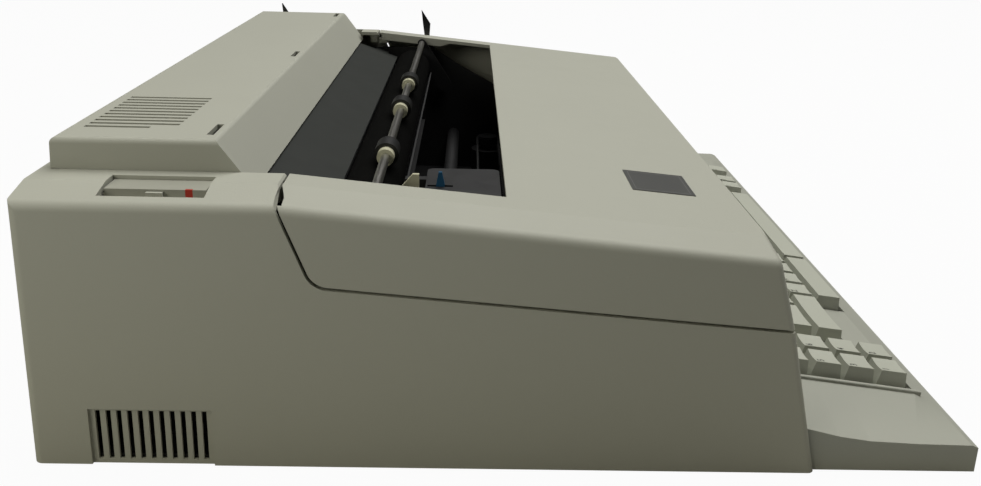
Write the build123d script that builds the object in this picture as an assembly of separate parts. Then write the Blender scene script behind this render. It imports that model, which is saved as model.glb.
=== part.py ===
from build123d import *
import math
import os

os.makedirs("parts", exist_ok=True)

# Electronic typewriter. All lengths are in millimetres.
# X runs across the machine, Y from the typist to the back, Z up.
# The origin is on the table, midway between the sides and between front and back.

# Moulded case: its side view is a row of straight lines.
BODY_WIDTH = 558.0
CASE_WALL = 3.0
CASE_BOTTOM_Z = 2.0
CASE_TOP_Z = 146.0
REAR_Y = 242.0
REAR_LEAN = 1.5
SEAM_Y = 116.0
COVER_FRONT_Y = -126.0
COVER_FRONT_Z = 123.5
FACE_LOW_Y = -138.4
FACE_LOW_Z = 81.5
CHEEK_FOOT_Y = -157.0
LONG_EDGE_ROUND = 5.0
FACE_EDGE_ROUND = 3.5

# The top falls away towards both side edges.
FALL_WIDTH = 22.0
FALL_DROP = 5.0

# Seam between the hinged front cover and the case.
SEAM_GAP = 1.6
SEAM_BEND_Y = 99.0
SEAM_BEND_Z = 100.8
SEAM_BEND_ROUND = 12.0
EDGE_BEVEL = 2.6
SEAM_LIP_HEIGHT = 6.0
SEAM_LIP_THICK = 2.0
SEAM_LIP_GAP = 0.4
SEAM_LIP_FRONT_Y = -117.0
SEAM_LIP_REAR_Y = 84.0
LIP_BEVEL = 1.0

# Opening over the platen in the front cover.
WINDOW_SIDE = 39.5
WINDOW_FRONT_Y = 5.0
FLANGE_WALL = 2.5
FLANGE_DEPTH = 7.0
FLANGE_STEP_FRONT_Y = 45.0
FLANGE_STEP_REAR_Y = 54.0

# Cover hinge, hidden under the seam.
HINGE_Y = 119.5
HINGE_Z = 140.5
HINGE_PIN_R = 1.6
HINGE_EYE_R = 3.5
HINGE_INSET = 9.5
HINGE_ARM_WIDTH = 6.0
HINGE_SIDE_GAP = 0.4
HINGE_RIB = 2.5
HINGE_DROP = 6.0
HINGE_REACH = 12.5
PIN_RUNNING = 0.05

# Raised cover at the back, with its cooling grille.
RAISED_LEFT_STRIP = 39.5
RAISED_RIGHT_STRIP = 23.0
RAISED_TOP_Z = 162.3
RAISED_REAR_Y = 234.5
RAISED_CREST_Y = 152.0
RAISED_FOOT_Y = 133.0
RAISED_FOOT_Z = 137.0
RAISED_WALL = 2.5
RAISED_ROUND = 3.0
SEAT_GAP = 0.3
GRILLE_INSET = 24.0
GRILLE_PITCH = 7.0
GRILLE_COUNT = 11
GRILLE_SLOT_WIDTH = 3.2
GRILLE_REAR_Y = 226.0
GRILLE_FRONT_Y = 178.5
GRILLE_SHORT_FRONT_Y = 192.0
LATCH_SLOT_LENGTH = 22.0
LATCH_SLOT_WIDTH = 3.6
LATCH_SLOT_Y = 157.5
LATCH_SLOT_INSET = 22.5
LATCH_SLOT_FAR_INSET = 18.0
LATCH_SLOT_MID_X = 14.0

# Side vents, low at the back of both sides.
VENT_FRONT_Y = 150.5
VENT_REAR_Y = 212.0
VENT_TOP_Z = 33.4
VENT_DEPTH = 1.5
VENT_SLOT_COUNT = 11
VENT_SLOT_PITCH = 5.3
VENT_SLOT_WIDTH = 2.5
VENT_SLOT_LOW_Z = 4.6
VENT_SLOT_TOP_Z = 32.0

# Mains switch, sunk in the left side strip.
SWITCH_FRONT_Y = 150.0
SWITCH_REAR_Y = 201.0
SWITCH_EDGE = 8.0
SWITCH_WIDTH = 23.0
SWITCH_DEPTH = 10.0
SWITCH_POCKET_WALL = 2.0
ROCKER_WIDTH = 15.0
ROCKER_SIDE_GAP = 0.4
ROCKER_END_GAP = 1.0
ROCKER_SINK = 2.0
ROCKER_END_HEIGHT = 3.6
ROCKER_MID_HEIGHT = 6.5
ROCKER_PIN_R = 1.5
ROCKER_POST = 2.0

# Front wall above the number keys.
FRONT_WALL_TOP_Y = -136.0
FRONT_WALL_FOOT_Y = -127.0
FRONT_WALL_FOOT_Z = 36.8

# Keyboard: a low wedge whose side edges sweep up in a hollow curve.
KEYBOARD_FRONT_Y = -242.0
KEYBOARD_REAR_Y = -123.0
KEYBOARD_SIDE_GAP = 0.3
KEYBOARD_WALL = 2.5
KEYBOARD_RIM_X = 233.0
KEYBOARD_NOSE_Z = 16.0
KEYBOARD_EDGE = ((-238.5, 17.4), (-211.0, 17.9), (-185.0, 19.2), (-169.0, 21.6), (-152.0, 25.8))
KEYBOARD_EDGE_REAR_Z = 34.0
LIP_REAR_Y = -227.0
DECK_TILT = 7.4
DECK_REF_Y = -225.0
DECK_REF_Z = 22.9
BEAD_X = 232.0
BEAD_FRONT_Y = -230.5
BEAD_REAR_Y = -140.0
BEAD_WIDTH = 2.8
BEAD_HEIGHT = 1.7

# Keys on the standard 19.05 pitch.
KEY_PITCH = 19.05
KEY_GAP = 1.1
KEY_HEIGHT = 8.4
KEY_SKIRT = 3.4
KEY_SIDE_INSET = 1.5
KEY_FRONT_INSET = 1.2
KEY_REAR_INSET = 2.4
KEY_DISH_DEPTH = 0.7
KEY_TRAVEL = 4.0
STEM_WIDTH = 4.4
STEM_LENGTH = 7.6
STEM_CLEAR = 0.08
WELL_MARGIN = 1.0
WELL_FRONT = 2.6
MAIN_LEFT_X = -180.4
LEFT_BLOCK_X = -228.4
RIGHT_BLOCK_X = 110.0
FAR_BLOCK_X = 161.0
FRONT_ROW_X = -127.6
CODE_UNITS = 3.75
SPACE_UNITS = 8.0
PLATE_DROP = 11.0
PLATE_THICK = 1.6
PLATE_EDGE = 2.0
BOARD_DROP = 16.5
BOARD_THICK = 1.4
ROW_COUNT = 5

# Dark plate on the front cover.
PLATE_EDGE_INSET = 76.5
PLATE_WIDTH = 37.5
PLATE_FRONT_Y = -102.0
PLATE_REAR_Y = -66.5
PLATE_STAND = 0.4
PLATE_SINK = 0.6

# Bottom trays and feet.
PAN_BOTTOM_Z = 4.0
PAN_WALL = 2.5
PAN_LIP_HEIGHT = 9.0
PAN_GAP = 0.3
FOOT_R = 11.0
FOOT_X = 236.0
FOOT_REAR_Y = 214.0
FOOT_FRONT_Y = -222.0
SCREW_R = 1.8
SCREW_HEAD_R = 3.6
SCREW_HEAD_HEIGHT = 2.0
SCREW_LENGTH = 16.0
BOSS_R = 4.6
BOSS_TOP_Z = 26.0
BOSS_YS = (-90.0, 60.0, 222.0)

# Steel side frames that carry the platen, the rails and the levers.
FRAME_WINDOW_GAP = 6.5
FRAME_THICK = 2.5
FRAME_OUTLINE = (
    (-48.0, 0.0), (222.0, 0.0), (222.0, 114.0), (136.0, 122.0),
    (108.0, 124.0), (62.0, 124.0), (40.0, 110.0), (-48.0, 62.0),
)

# Platen and its drive.
PLATEN_Y = 81.0
PLATEN_Z = 114.0
PLATEN_R = 16.5
PLATEN_END_GAP = 18.0
PLATEN_SHAFT_R = 5.0
GEAR_MODULE = 1.0
PLATEN_TEETH = 40
PINION_TEETH = 14
GEAR_WIDTH = 4.0
GEAR_FRAME_GAP = 0.8
PINION_ANGLE = -90.0
PINION_BORE_R = 1.6
STEPPER_R = 17.5
STEPPER_LENGTH = 15.0

# Pressure rollers under the platen, on a rocking cradle.
FEED_R = 7.0
FEED_GAP = 0.3
FEED_ANGLE = -110.0
FEED_SHAFT_R = 2.5
FEED_ROLLER_LENGTH = 34.0
FEED_ROLLER_COUNT = 4
FEED_SHAFT_INSET = 50.0
FEED_ROLLER_SPAN_INSET = 81.0
CRADLE_Y = 104.0
CRADLE_Z = 72.0
CRADLE_PIVOT_R = 3.0
CRADLE_PLATE = 1.6
CRADLE_EAR_INSET = 4.0

# Curved paper guide under the platen, and the slanted paper table behind it.
GUIDE_CLEAR = 1.6
GUIDE_THICK = 1.2
GUIDE_START = -165.0
GUIDE_END = 5.0
GUIDE_INSET = 20.0
TABLE_TOP_Y = 133.6
TABLE_TOP_Z = 135.4
TABLE_FOOT_Y = 97.0
TABLE_FOOT_Z = 122.5
TABLE_THICK = 2.0
TABLE_INSET = 10.0

# Paper bail.
BAIL_Y = 72.7
BAIL_Z = 136.5
BAIL_R = 2.65
BAIL_PIVOT_Y = 50.0
BAIL_PIVOT_Z = 96.0
BAIL_PIVOT_R = 4.0
BAIL_ARM_INSET = 11.0
BAIL_ARM_THICK = 2.0
BAIL_ROLLER_SHARES = (-0.706, -0.197, 0.184)
BAIL_TYRE_R = 7.2
BAIL_TYRE_LENGTH = 16.0
BAIL_HUB_R = 5.0
BAIL_HUB_LENGTH = 28.0

# Levers that stand out of the right side strip.
LEVER_EDGE = 16.0
LEVER_THICK = 4.0
LEVER_HUB_R = 8.0
LEVER_BLADE = ((66.5, 138.0), (65.6, 152.0), (74.6, 165.8), (73.0, 152.0), (71.0, 138.0))
LEVER_SLOT_FRONT_Y = 43.0
LEVER_SLOT_REAR_Y = 76.0
LEVER_SLOT_GAP = 0.8
RELEASE_SHIFT_Y = 141.0
RELEASE_RISE = 3.4
RELEASE_PIVOT_Y = 196.0
RELEASE_PIVOT_Z = 104.0
RELEASE_SLOT_FRONT_Y = 178.0
RELEASE_SLOT_REAR_Y = 218.0

# Carriage, parked at the left.
RAIL_R = 6.0
RAIL_REAR_Y = 40.0
RAIL_FRONT_Y = -28.0
RAIL_Z = 42.0
CARRIAGE_FRAME_GAP = 13.0
CARRIAGE_WIDTH = 62.0
CARRIAGE_PLATE = 2.0
CARRIAGE_FLOOR_Z = 52.0
CARRIAGE_FRONT_Y = -38.0
CARRIAGE_REAR_Y = 50.0
CARRIAGE_CHEEK_Z = 104.0
WHEEL_R = 35.0
WHEEL_CENTRE_Z = 81.0
WHEEL_FRONT_Y = 56.6
WHEEL_THICK = 1.4
WHEEL_HUB_R = 13.0
WHEEL_PETALS = 32
WHEEL_SLIT = 1.2
WHEEL_MOTOR_R = 19.0
WHEEL_MOTOR_LENGTH = 34.0
WHEEL_MOTOR_REAR_Y = 50.0
WHEEL_SHAFT_R = 2.0
HAMMER_Z = 112.0
HAMMER_R = 1.8
HAMMER_TIP_Y = 53.0
HAMMER_LENGTH = 26.0
SOLENOID_REAR_Y = 42.0
SOLENOID_LENGTH = 24.0
SOLENOID_WIDTH = 20.0
SOLENOID_HEIGHT = 15.0
CARTRIDGE_LOW_Z = 120.5
CARTRIDGE_TOP_Z = 130.5
CARTRIDGE_FRONT_Y = 7.0
CARTRIDGE_REAR_Y = 48.0
CARTRIDGE_ARM_Y = 61.0
CARTRIDGE_ARM_WIDTH = 6.0
CARTRIDGE_MARGIN = 3.0
GUIDE_PLATE_Y = 60.6
GUIDE_PLATE_THICK = 1.2
HOLDER_GAP = 2.6
TAB_OFFSET = -3.0
TAB_TIP_Z = 136.5
RIBBON_LEVER_OFFSET = -6.0
RIBBON_LEVER_Y = 40.0
RIBBON_LEVER_TIP_Z = 138.5

# Carriage drive belt in a level loop under the carriage.
PULLEY_R = 10.0
PULLEY_INSET = 20.0
PULLEY_Y = 5.0
BELT_THICK = 1.2
BELT_WIDTH = 6.0
BELT_LOW_Z = 38.0
DRIVE_MOTOR_R = 16.0
DRIVE_MOTOR_LENGTH = 26.0
DRIVE_SHAFT_R = 2.5
CLAMP_GAP = 0.3

# Electronics.
SUPPLY_WIDTH = 162.0
SUPPLY_INSET = 14.0
SUPPLY_FRONT_Y = 138.0
SUPPLY_REAR_Y = 214.0
SUPPLY_HEIGHT = 66.0
BOARD_WIDTH = 282.0
BOARD_FRONT_Y = 140.0
BOARD_REAR_Y = 228.0
STANDOFF_HEIGHT = 8.0
STANDOFF_R = 3.5
INLET_INSET = 50.0
INLET_Z = 30.0
INLET_WIDTH = 28.0
INLET_HEIGHT = 20.0
INLET_DEPTH = 18.0
INLET_FLANGE = 3.0
INLET_SOCKET_MARGIN = 3.5

# Small fits and details.
WELD = 0.5
BOSS_BITE = 0.6
RIM = 1.5
FRAME_FOOT_WIDTH = 9.0
FRAME_FOOT_FRONT_Y = 10.0
FRAME_FOOT_REAR_Y = 200.0
FRAME_FOOT_THICK = 2.0
PLATEN_SHAFT_END = 4.0
PINION_SOCKET = 10.0
BAIL_ARM_LOW_R = 7.0
BAIL_ARM_HIGH_R = 4.2
CRADLE_EAR_MARGIN = 3.5
CRADLE_PLATE_DROP = 2.0
GUIDE_ROLLER_CLEAR = 1.6
GUIDE_TAB_HEIGHT = 14.0
TABLE_EAR_SHARE = 0.25
TABLE_EAR_SHORT = 6.0
TRAY_RIB_XS = (-210.0, -70.0, 70.0, 170.0)
TRAY_RIB_WIDTH = 4.0
TRAY_RIB_INSET = 4.0
BOARD_EDGE = 3.0
CARRIAGE_BUSH_LENGTH = 8.0
CARRIAGE_BUSH_WALL = 3.0
CARRIAGE_BELT_GAP = 7.0
CARRIAGE_BED_WIDTH = 20.0
CARRIAGE_GRIP_WIDTH = 16.0
CARRIAGE_GRIP_THICK = 4.0
WHEEL_SOCKET = 12.0
GUIDE_PLATE_RISE = 8.0
TAB_REACH = 9.0
TAB_TIP_WIDTH = 3.5
TAB_THICK = 2.4
RIBBON_LEVER_THICK = 2.0
RIBBON_PIN_R = 1.0
RIBBON_PIN_DROP = 4.0
IDLER_POST_R = 7.0
DRIVE_SOCKET = 8.0
CORE_INSET = 8.0
CORE_WIDTH = 66.0
COIL_INSET = 20.0
COIL_WIDTH = 42.0
COIL_EDGE = 2.0
FIN_COUNT = 6
FIN_FIRST = 92.0
FIN_PITCH = 10.0
FIN_THICK = 3.0
FIN_HEIGHT = 40.0
CHIP_COUNT = 5
CHIP_FIRST = 24.0
CHIP_PITCH = 50.0
CHIP_LENGTH = 36.0
CHIP_WIDTH = 14.0
CHIP_HEIGHT = 6.0
SMALL_CHIP_LENGTH = 20.0
SMALL_CHIP_WIDTH = 8.0
SMALL_CHIP_HEIGHT = 5.0
CONTACT_SPREAD = 6.0

HALF_WIDTH = BODY_WIDTH / 2
INNER_HALF = HALF_WIDTH - CASE_WALL
WINDOW_HALF = HALF_WIDTH - WINDOW_SIDE
HINGE_X = WINDOW_HALF + HINGE_INSET
RAISED_LEFT_X = RAISED_LEFT_STRIP - HALF_WIDTH
RAISED_RIGHT_X = HALF_WIDTH - RAISED_RIGHT_STRIP
GRILLE_FIRST_X = RAISED_LEFT_X + GRILLE_INSET
LATCH_SLOT_XS = (
    RAISED_LEFT_X + LATCH_SLOT_INSET, LATCH_SLOT_MID_X, RAISED_RIGHT_X - LATCH_SLOT_FAR_INSET,
)
SWITCH_NEAR_X = SWITCH_EDGE - HALF_WIDTH
SWITCH_FAR_X = SWITCH_NEAR_X + SWITCH_WIDTH
ROCKER_TOP_Z = CASE_TOP_Z - ROCKER_SINK
PLATE_LEFT_X = PLATE_EDGE_INSET - HALF_WIDTH
PLATE_RIGHT_X = PLATE_LEFT_X + PLATE_WIDTH
FRAME_INNER_X = WINDOW_HALF + FRAME_WINDOW_GAP
PLATEN_HALF = FRAME_INNER_X - PLATEN_END_GAP
FEED_SHAFT_HALF = FRAME_INNER_X - FEED_SHAFT_INSET
CRADLE_EAR_X = FEED_SHAFT_HALF - CRADLE_EAR_INSET
FEED_SPAN = FRAME_INNER_X - FEED_ROLLER_SPAN_INSET
FEED_ROLLER_XS = tuple(
    FEED_SPAN * (2 * index / (FEED_ROLLER_COUNT - 1) - 1) for index in range(FEED_ROLLER_COUNT)
)
GUIDE_HALF = FRAME_INNER_X - GUIDE_INSET
TABLE_HALF = FRAME_INNER_X - TABLE_INSET
BAIL_ARM_X = FRAME_INNER_X - BAIL_ARM_INSET
BAIL_ROLLER_XS = tuple(share * PLATEN_HALF for share in BAIL_ROLLER_SHARES)
LEVER_X = HALF_WIDTH - LEVER_EDGE
CARRIAGE_LEFT_X = CARRIAGE_FRAME_GAP - FRAME_INNER_X
PULLEY_X = FRAME_INNER_X - PULLEY_INSET
SUPPLY_RIGHT_X = FRAME_INNER_X - SUPPLY_INSET
SUPPLY_LEFT_X = SUPPLY_RIGHT_X - SUPPLY_WIDTH
BOARD_LEFT_X = SUPPLY_INSET - FRAME_INNER_X
BOARD_RIGHT_X = BOARD_LEFT_X + BOARD_WIDTH
INLET_X = FRAME_INNER_X - INLET_INSET
PAN_TOP_Z = PAN_BOTTOM_Z + PAN_WALL
FRAME_OUTER_X = FRAME_INNER_X + FRAME_THICK
COVER_SLOPE = (CASE_TOP_Z - COVER_FRONT_Z) / (SEAM_Y - COVER_FRONT_Y)
SEAM_SLOPE = (SEAM_BEND_Z - FACE_LOW_Z) / (SEAM_BEND_Y - FACE_LOW_Y)
CARRIAGE_X = CARRIAGE_LEFT_X + CARRIAGE_WIDTH / 2
CARRIAGE_RIGHT_X = CARRIAGE_LEFT_X + CARRIAGE_WIDTH
TAB_X = CARRIAGE_X + TAB_OFFSET
RIBBON_LEVER_X = CARRIAGE_X + RIBBON_LEVER_OFFSET


# Shared helpers

def side_sketch(points):
    """A closed outline drawn in the side view, as (Y, Z) points."""
    return make_face(Polyline(*points, close=True))


def across(sketch, left_x, right_x):
    """Extrude a side view sketch from left_x to right_x."""
    return extrude(Plane.YZ.offset(left_x) * sketch, right_x - left_x)


def block(x0, x1, y0, y1, z0, z1):
    """A box between two corners."""
    return Pos((x0 + x1) / 2, (y0 + y1) / 2, (z0 + z1) / 2) * Box(x1 - x0, y1 - y0, z1 - z0)


def rod_x(y, z, radius, x0, x1):
    """A round bar along X."""
    return Pos((x0 + x1) / 2, y, z) * Rot(0, 90, 0) * Cylinder(radius, x1 - x0)


def rod_y(x, z, radius, y0, y1):
    """A round bar along Y."""
    return Pos(x, (y0 + y1) / 2, z) * Rot(90, 0, 0) * Cylinder(radius, y1 - y0)


def rod_z(x, y, radius, z0, z1):
    """A round bar along Z."""
    return Pos(x, y, (z0 + z1) / 2) * Cylinder(radius, z1 - z0)


def both_sides(part):
    """The part and its mirror image in the middle plane."""
    return [part, mirror(part, about=Plane.YZ)]


def polar_point(y, z, radius, degrees):
    """The side view point at an angle round a centre."""
    angle = math.radians(degrees)
    return y + radius * math.cos(angle), z + radius * math.sin(angle)


def cover_top_z(y):
    """Height of the sloping top of the front cover at y."""
    return CASE_TOP_Z - COVER_SLOPE * (SEAM_Y - y)


def seam_z(y):
    """Height of the long side seam at y."""
    return FACE_LOW_Z + SEAM_SLOPE * (y - FACE_LOW_Y)


def face_y(z):
    """Y of the straight front edge of the cheeks at height z."""
    slope = (FACE_LOW_Y - CHEEK_FOOT_Y) / (FACE_LOW_Z - CASE_BOTTOM_Z)
    return CHEEK_FOOT_Y + slope * (z - CASE_BOTTOM_Z)


def rear_y(z):
    """Y of the leaning rear wall at height z."""
    return REAR_Y - REAR_LEAN * (z - CASE_BOTTOM_Z) / (CASE_TOP_Z - CASE_BOTTOM_Z)


# Case and front cover, cut from one moulded shell

def case_outline(bottom_z):
    """Side view of the case, with straight sides run down to bottom_z."""
    return side_sketch([
        (rear_y(bottom_z), bottom_z), (rear_y(CASE_TOP_Z), CASE_TOP_Z), (SEAM_Y, CASE_TOP_Z),
        (COVER_FRONT_Y, COVER_FRONT_Z), (FACE_LOW_Y, FACE_LOW_Z), (face_y(bottom_z), bottom_z),
    ])


def side_edges(solid, half_width, keep):
    """Long edges on both flat sides of a solid whose middle passes the test."""
    return [
        e for e in solid.edges() if abs(abs(e.center().X) - half_width) < 0.01 and keep(e.center())
    ]


def cover_region(grow):
    """Side view sketch of everything above the seam, grown or shrunk by a part of its gap."""
    high = RAISED_TOP_Z + 40
    start_y = CHEEK_FOOT_Y - 20
    sketch = side_sketch([
        (start_y, seam_z(start_y)), (SEAM_BEND_Y, SEAM_BEND_Z), (SEAM_Y, CASE_TOP_Z - CASE_WALL),
        (SEAM_Y, high), (start_y, high),
    ])
    bend = sketch.vertices().filter_by(lambda v: abs(v.X - SEAM_BEND_Y) < 0.01)
    return offset(fillet(bend, SEAM_BEND_ROUND), grow, kind=Kind.INTERSECTION)


def side_falls(sink, slanted):
    """Cutters that make the top fall away to the side edges, sunk to shape the underside."""
    start_x = HALF_WIDTH - FALL_WIDTH
    far_x = HALF_WIDTH + FALL_WIDTH
    tilt = math.atan(COVER_SLOPE) if slanted else 0.0
    start_y = SEAM_Y + 2 * CASE_WALL if slanted else REAR_Y + CASE_WALL
    level = cover_top_z(start_y) if slanted else CASE_TOP_Z
    plane = Plane(
        origin=(0, start_y, level), x_dir=(1, 0, 0), z_dir=(0, -math.cos(tilt), -math.sin(tilt)),
    )
    sketch = make_face(Polyline(
        (start_x, -sink), (far_x, -2 * FALL_DROP - sink), (far_x, RAISED_TOP_Z), (start_x, RAISED_TOP_Z),
        close=True,
    ))
    return both_sides(extrude(plane * sketch, 2 * REAR_Y))


def cover_shell():
    """The hollow front cover before its window is cut."""
    solid = across(case_outline(CASE_BOTTOM_Z) & cover_region(-SEAM_GAP / 2), -HALF_WIDTH, HALF_WIDTH)
    for fall in side_falls(0.0, True):
        solid -= fall
    top = side_edges(solid, HALF_WIDTH, lambda c: c.Z > COVER_FRONT_Z and c.Y < SEAM_BEND_Y)
    solid = fillet(top, LONG_EDGE_ROUND)
    face = side_edges(solid, HALF_WIDTH, lambda c: c.Y < COVER_FRONT_Y)
    solid = fillet(face, FACE_EDGE_ROUND)
    inner_sketch = offset(case_outline(-10 * CASE_WALL), -CASE_WALL, kind=Kind.INTERSECTION)
    inner = across(inner_sketch, -INNER_HALF, INNER_HALF)
    for fall in side_falls(CASE_WALL, True):
        inner -= fall
    return solid - inner


def housing_shell():
    """The hollow case below the seam, open in front between its cheeks."""
    solid = across(case_outline(CASE_BOTTOM_Z) - cover_region(SEAM_GAP / 2), -HALF_WIDTH, HALF_WIDTH)
    for fall in side_falls(0.0, False):
        solid -= fall
    back = side_edges(solid, HALF_WIDTH, lambda c: c.Y > SEAM_Y + 5 and c.Z > CASE_BOTTOM_Z + 5)
    solid = fillet(back, LONG_EDGE_ROUND)
    cheek = side_edges(solid, HALF_WIDTH, lambda c: c.Y < FACE_LOW_Y)
    solid = fillet(cheek, FACE_EDGE_ROUND)
    low = CASE_BOTTOM_Z - 10 * CASE_WALL
    top = CASE_TOP_Z - CASE_WALL
    open_front = CHEEK_FOOT_Y - 20
    inner = across(side_sketch([
        (rear_y(low) - CASE_WALL, low), (rear_y(top) - CASE_WALL, top), (open_front, top), (open_front, low),
    ]), -INNER_HALF, INNER_HALF)
    for fall in side_falls(CASE_WALL, False):
        inner -= fall
    return solid - inner


def lever_slot(front_y, rear_y_, z0, z1):
    """The slot that a lever of the right side strip works in."""
    return block(
        LEVER_X - LEVER_SLOT_GAP, LEVER_X + LEVER_THICK + LEVER_SLOT_GAP, front_y, rear_y_, z0, z1,
    )


def hinge_arm(x):
    """Gooseneck arm that reaches under the case edge to the hinge pin."""
    leg_rear = SEAM_Y - SEAM_GAP / 2 - EDGE_BEVEL - 0.4
    roof = cover_top_z(leg_rear) - CASE_WALL + 0.6
    arm = side_sketch([
        (HINGE_Y - HINGE_REACH, roof - 0.8), (leg_rear, roof), (leg_rear, HINGE_Z - 1.4),
        (HINGE_Y, HINGE_Z - 1.4), (HINGE_Y, HINGE_Z - HINGE_EYE_R + 0.1),
        (HINGE_Y - 3.0, HINGE_Z - HINGE_DROP), (HINGE_Y - HINGE_REACH, HINGE_Z - HINGE_DROP),
    ])
    half = HINGE_ARM_WIDTH / 2
    solid = across(arm, x - half, x + half) + rod_x(HINGE_Y, HINGE_Z, HINGE_EYE_R, x - half, x + half)
    bore = rod_x(HINGE_Y, HINGE_Z, HINGE_PIN_R + PIN_RUNNING, x - HINGE_ARM_WIDTH, x + HINGE_ARM_WIDTH)
    return solid - bore


def window_flange(x0, x1):
    """Turned-down edge beside the window, deeper beside the platen."""
    rear = SEAM_Y - SEAM_GAP / 2 - EDGE_BEVEL
    sketch = side_sketch([
        (WINDOW_FRONT_Y - FLANGE_WALL, cover_top_z(WINDOW_FRONT_Y) - 1),
        (rear, cover_top_z(rear) - 1),
        (rear, cover_top_z(rear) - FLANGE_DEPTH),
        (FLANGE_STEP_REAR_Y, cover_top_z(FLANGE_STEP_REAR_Y) - FLANGE_DEPTH),
        (FLANGE_STEP_FRONT_Y, cover_top_z(FLANGE_STEP_FRONT_Y) - CASE_WALL),
        (WINDOW_FRONT_Y - FLANGE_WALL, cover_top_z(WINDOW_FRONT_Y) - CASE_WALL),
    ])
    return across(sketch, x0, x1)


def make_front_cover():
    cover = cover_shell()
    cover += window_flange(WINDOW_HALF, WINDOW_HALF + FLANGE_WALL)
    cover += window_flange(-WINDOW_HALF - FLANGE_WALL, -WINDOW_HALF)
    cover -= block(-WINDOW_HALF, WINDOW_HALF, WINDOW_FRONT_Y, SEAM_Y + 20, COVER_FRONT_Z, RAISED_TOP_Z)
    edge_y = SEAM_Y - SEAM_GAP / 2
    bevel = side_sketch([
        (edge_y, CASE_TOP_Z - 0.4), (edge_y + 2, CASE_TOP_Z - 0.4), (edge_y + 2, CASE_TOP_Z - 12),
        (edge_y - EDGE_BEVEL, CASE_TOP_Z - 12), (edge_y - EDGE_BEVEL, CASE_TOP_Z - CASE_WALL),
    ])
    cover -= across(bevel, -INNER_HALF, INNER_HALF)
    for x in (-HINGE_X, HINGE_X):
        cover += hinge_arm(x)
    cover -= lever_slot(LEVER_SLOT_FRONT_Y, LEVER_SLOT_REAR_Y, COVER_FRONT_Z, RAISED_TOP_Z)
    return cover - cover_plate_body(0.0)


def cover_plate_body(stand):
    """The dark plate, let into the sloping top of the front cover."""
    mid_y = (PLATE_FRONT_Y + PLATE_REAR_Y) / 2
    tilt = math.degrees(math.atan(COVER_SLOPE))
    run = (PLATE_REAR_Y - PLATE_FRONT_Y) / math.cos(math.radians(tilt))
    thick = PLATE_SINK + stand
    plate = Pos(0, 0, (stand - PLATE_SINK) / 2) * Box(PLATE_RIGHT_X - PLATE_LEFT_X, run, thick)
    return Pos((PLATE_LEFT_X + PLATE_RIGHT_X) / 2, mid_y, cover_top_z(mid_y)) * Rot(tilt, 0, 0) * plate


def side_vent(sign):
    """Cutter for one side vent: a shallow panel that runs off the bottom edge, with slots."""
    outer = sign * (HALF_WIDTH + 1)
    floor = sign * (HALF_WIDTH - VENT_DEPTH)
    cutter = block(min(outer, floor), max(outer, floor), VENT_FRONT_Y, VENT_REAR_Y, 0, VENT_TOP_Z)
    mid_y = (VENT_FRONT_Y + VENT_REAR_Y) / 2
    inner = sign * (INNER_HALF - 1)
    for index in range(VENT_SLOT_COUNT):
        y = mid_y + (index - (VENT_SLOT_COUNT - 1) / 2) * VENT_SLOT_PITCH
        half = VENT_SLOT_WIDTH / 2
        cutter += block(
            min(outer, inner), max(outer, inner), y - half, y + half, VENT_SLOT_LOW_Z, VENT_SLOT_TOP_Z,
        )
    return cutter


def hinge_ribs(x):
    """Two ribs under the case edge that hold one hinge pin."""
    offset_x = HINGE_ARM_WIDTH / 2 + HINGE_SIDE_GAP
    edge = SEAM_Y + SEAM_GAP / 2
    ribs = []
    for x0 in (x - offset_x - HINGE_RIB, x + offset_x):
        ribs.append(block(
            x0, x0 + HINGE_RIB, edge + LIP_BEVEL, HINGE_Y + 4.5, HINGE_Z - HINGE_DROP + 1, CASE_TOP_Z - 1,
        ))
    return ribs


def switch_pocket_box():
    wall = SWITCH_POCKET_WALL
    return block(
        SWITCH_NEAR_X - wall, SWITCH_FAR_X + wall, SWITCH_FRONT_Y - wall, SWITCH_REAR_Y + wall,
        CASE_TOP_Z - SWITCH_DEPTH - wall, CASE_TOP_Z - FALL_DROP,
    )


def switch_pocket():
    return block(
        SWITCH_NEAR_X, SWITCH_FAR_X, SWITCH_FRONT_Y, SWITCH_REAR_Y, CASE_TOP_Z - SWITCH_DEPTH,
        CASE_TOP_Z + 1,
    )


def rocker_pin_z():
    return ROCKER_TOP_Z - ROCKER_MID_HEIGHT + ROCKER_PIN_R + 1.0


def switch_post():
    """Post in the pocket that carries the near end of the rocker's pin."""
    near = SWITCH_FAR_X - ROCKER_WIDTH - 2 * ROCKER_SIDE_GAP - ROCKER_POST
    mid_y = (SWITCH_FRONT_Y + SWITCH_REAR_Y) / 2
    return block(
        near, near + ROCKER_POST, mid_y - 4, mid_y + 4, CASE_TOP_Z - SWITCH_DEPTH - 0.5,
        rocker_pin_z() + ROCKER_PIN_R + 1.5,
    )


def seam_lip():
    """Strip inside a side wall that stands up behind the long seam and shuts out light."""
    front = SEAM_LIP_FRONT_Y
    rear = SEAM_LIP_REAR_Y
    low = -SEAM_LIP_HEIGHT
    edge = -SEAM_GAP
    base = side_sketch([
        (front, seam_z(front) + low), (rear, seam_z(rear) + low), (rear, seam_z(rear) + edge),
        (front, seam_z(front) + edge),
    ])
    strip = side_sketch([
        (front, seam_z(front) + low), (rear, seam_z(rear) + low), (rear, seam_z(rear) - low),
        (front, seam_z(front) - low),
    ])
    outer = INNER_HALF - SEAM_LIP_GAP
    return across(strip, outer - SEAM_LIP_THICK, outer) + across(base, outer - WELD, INNER_HALF + WELD)


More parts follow.
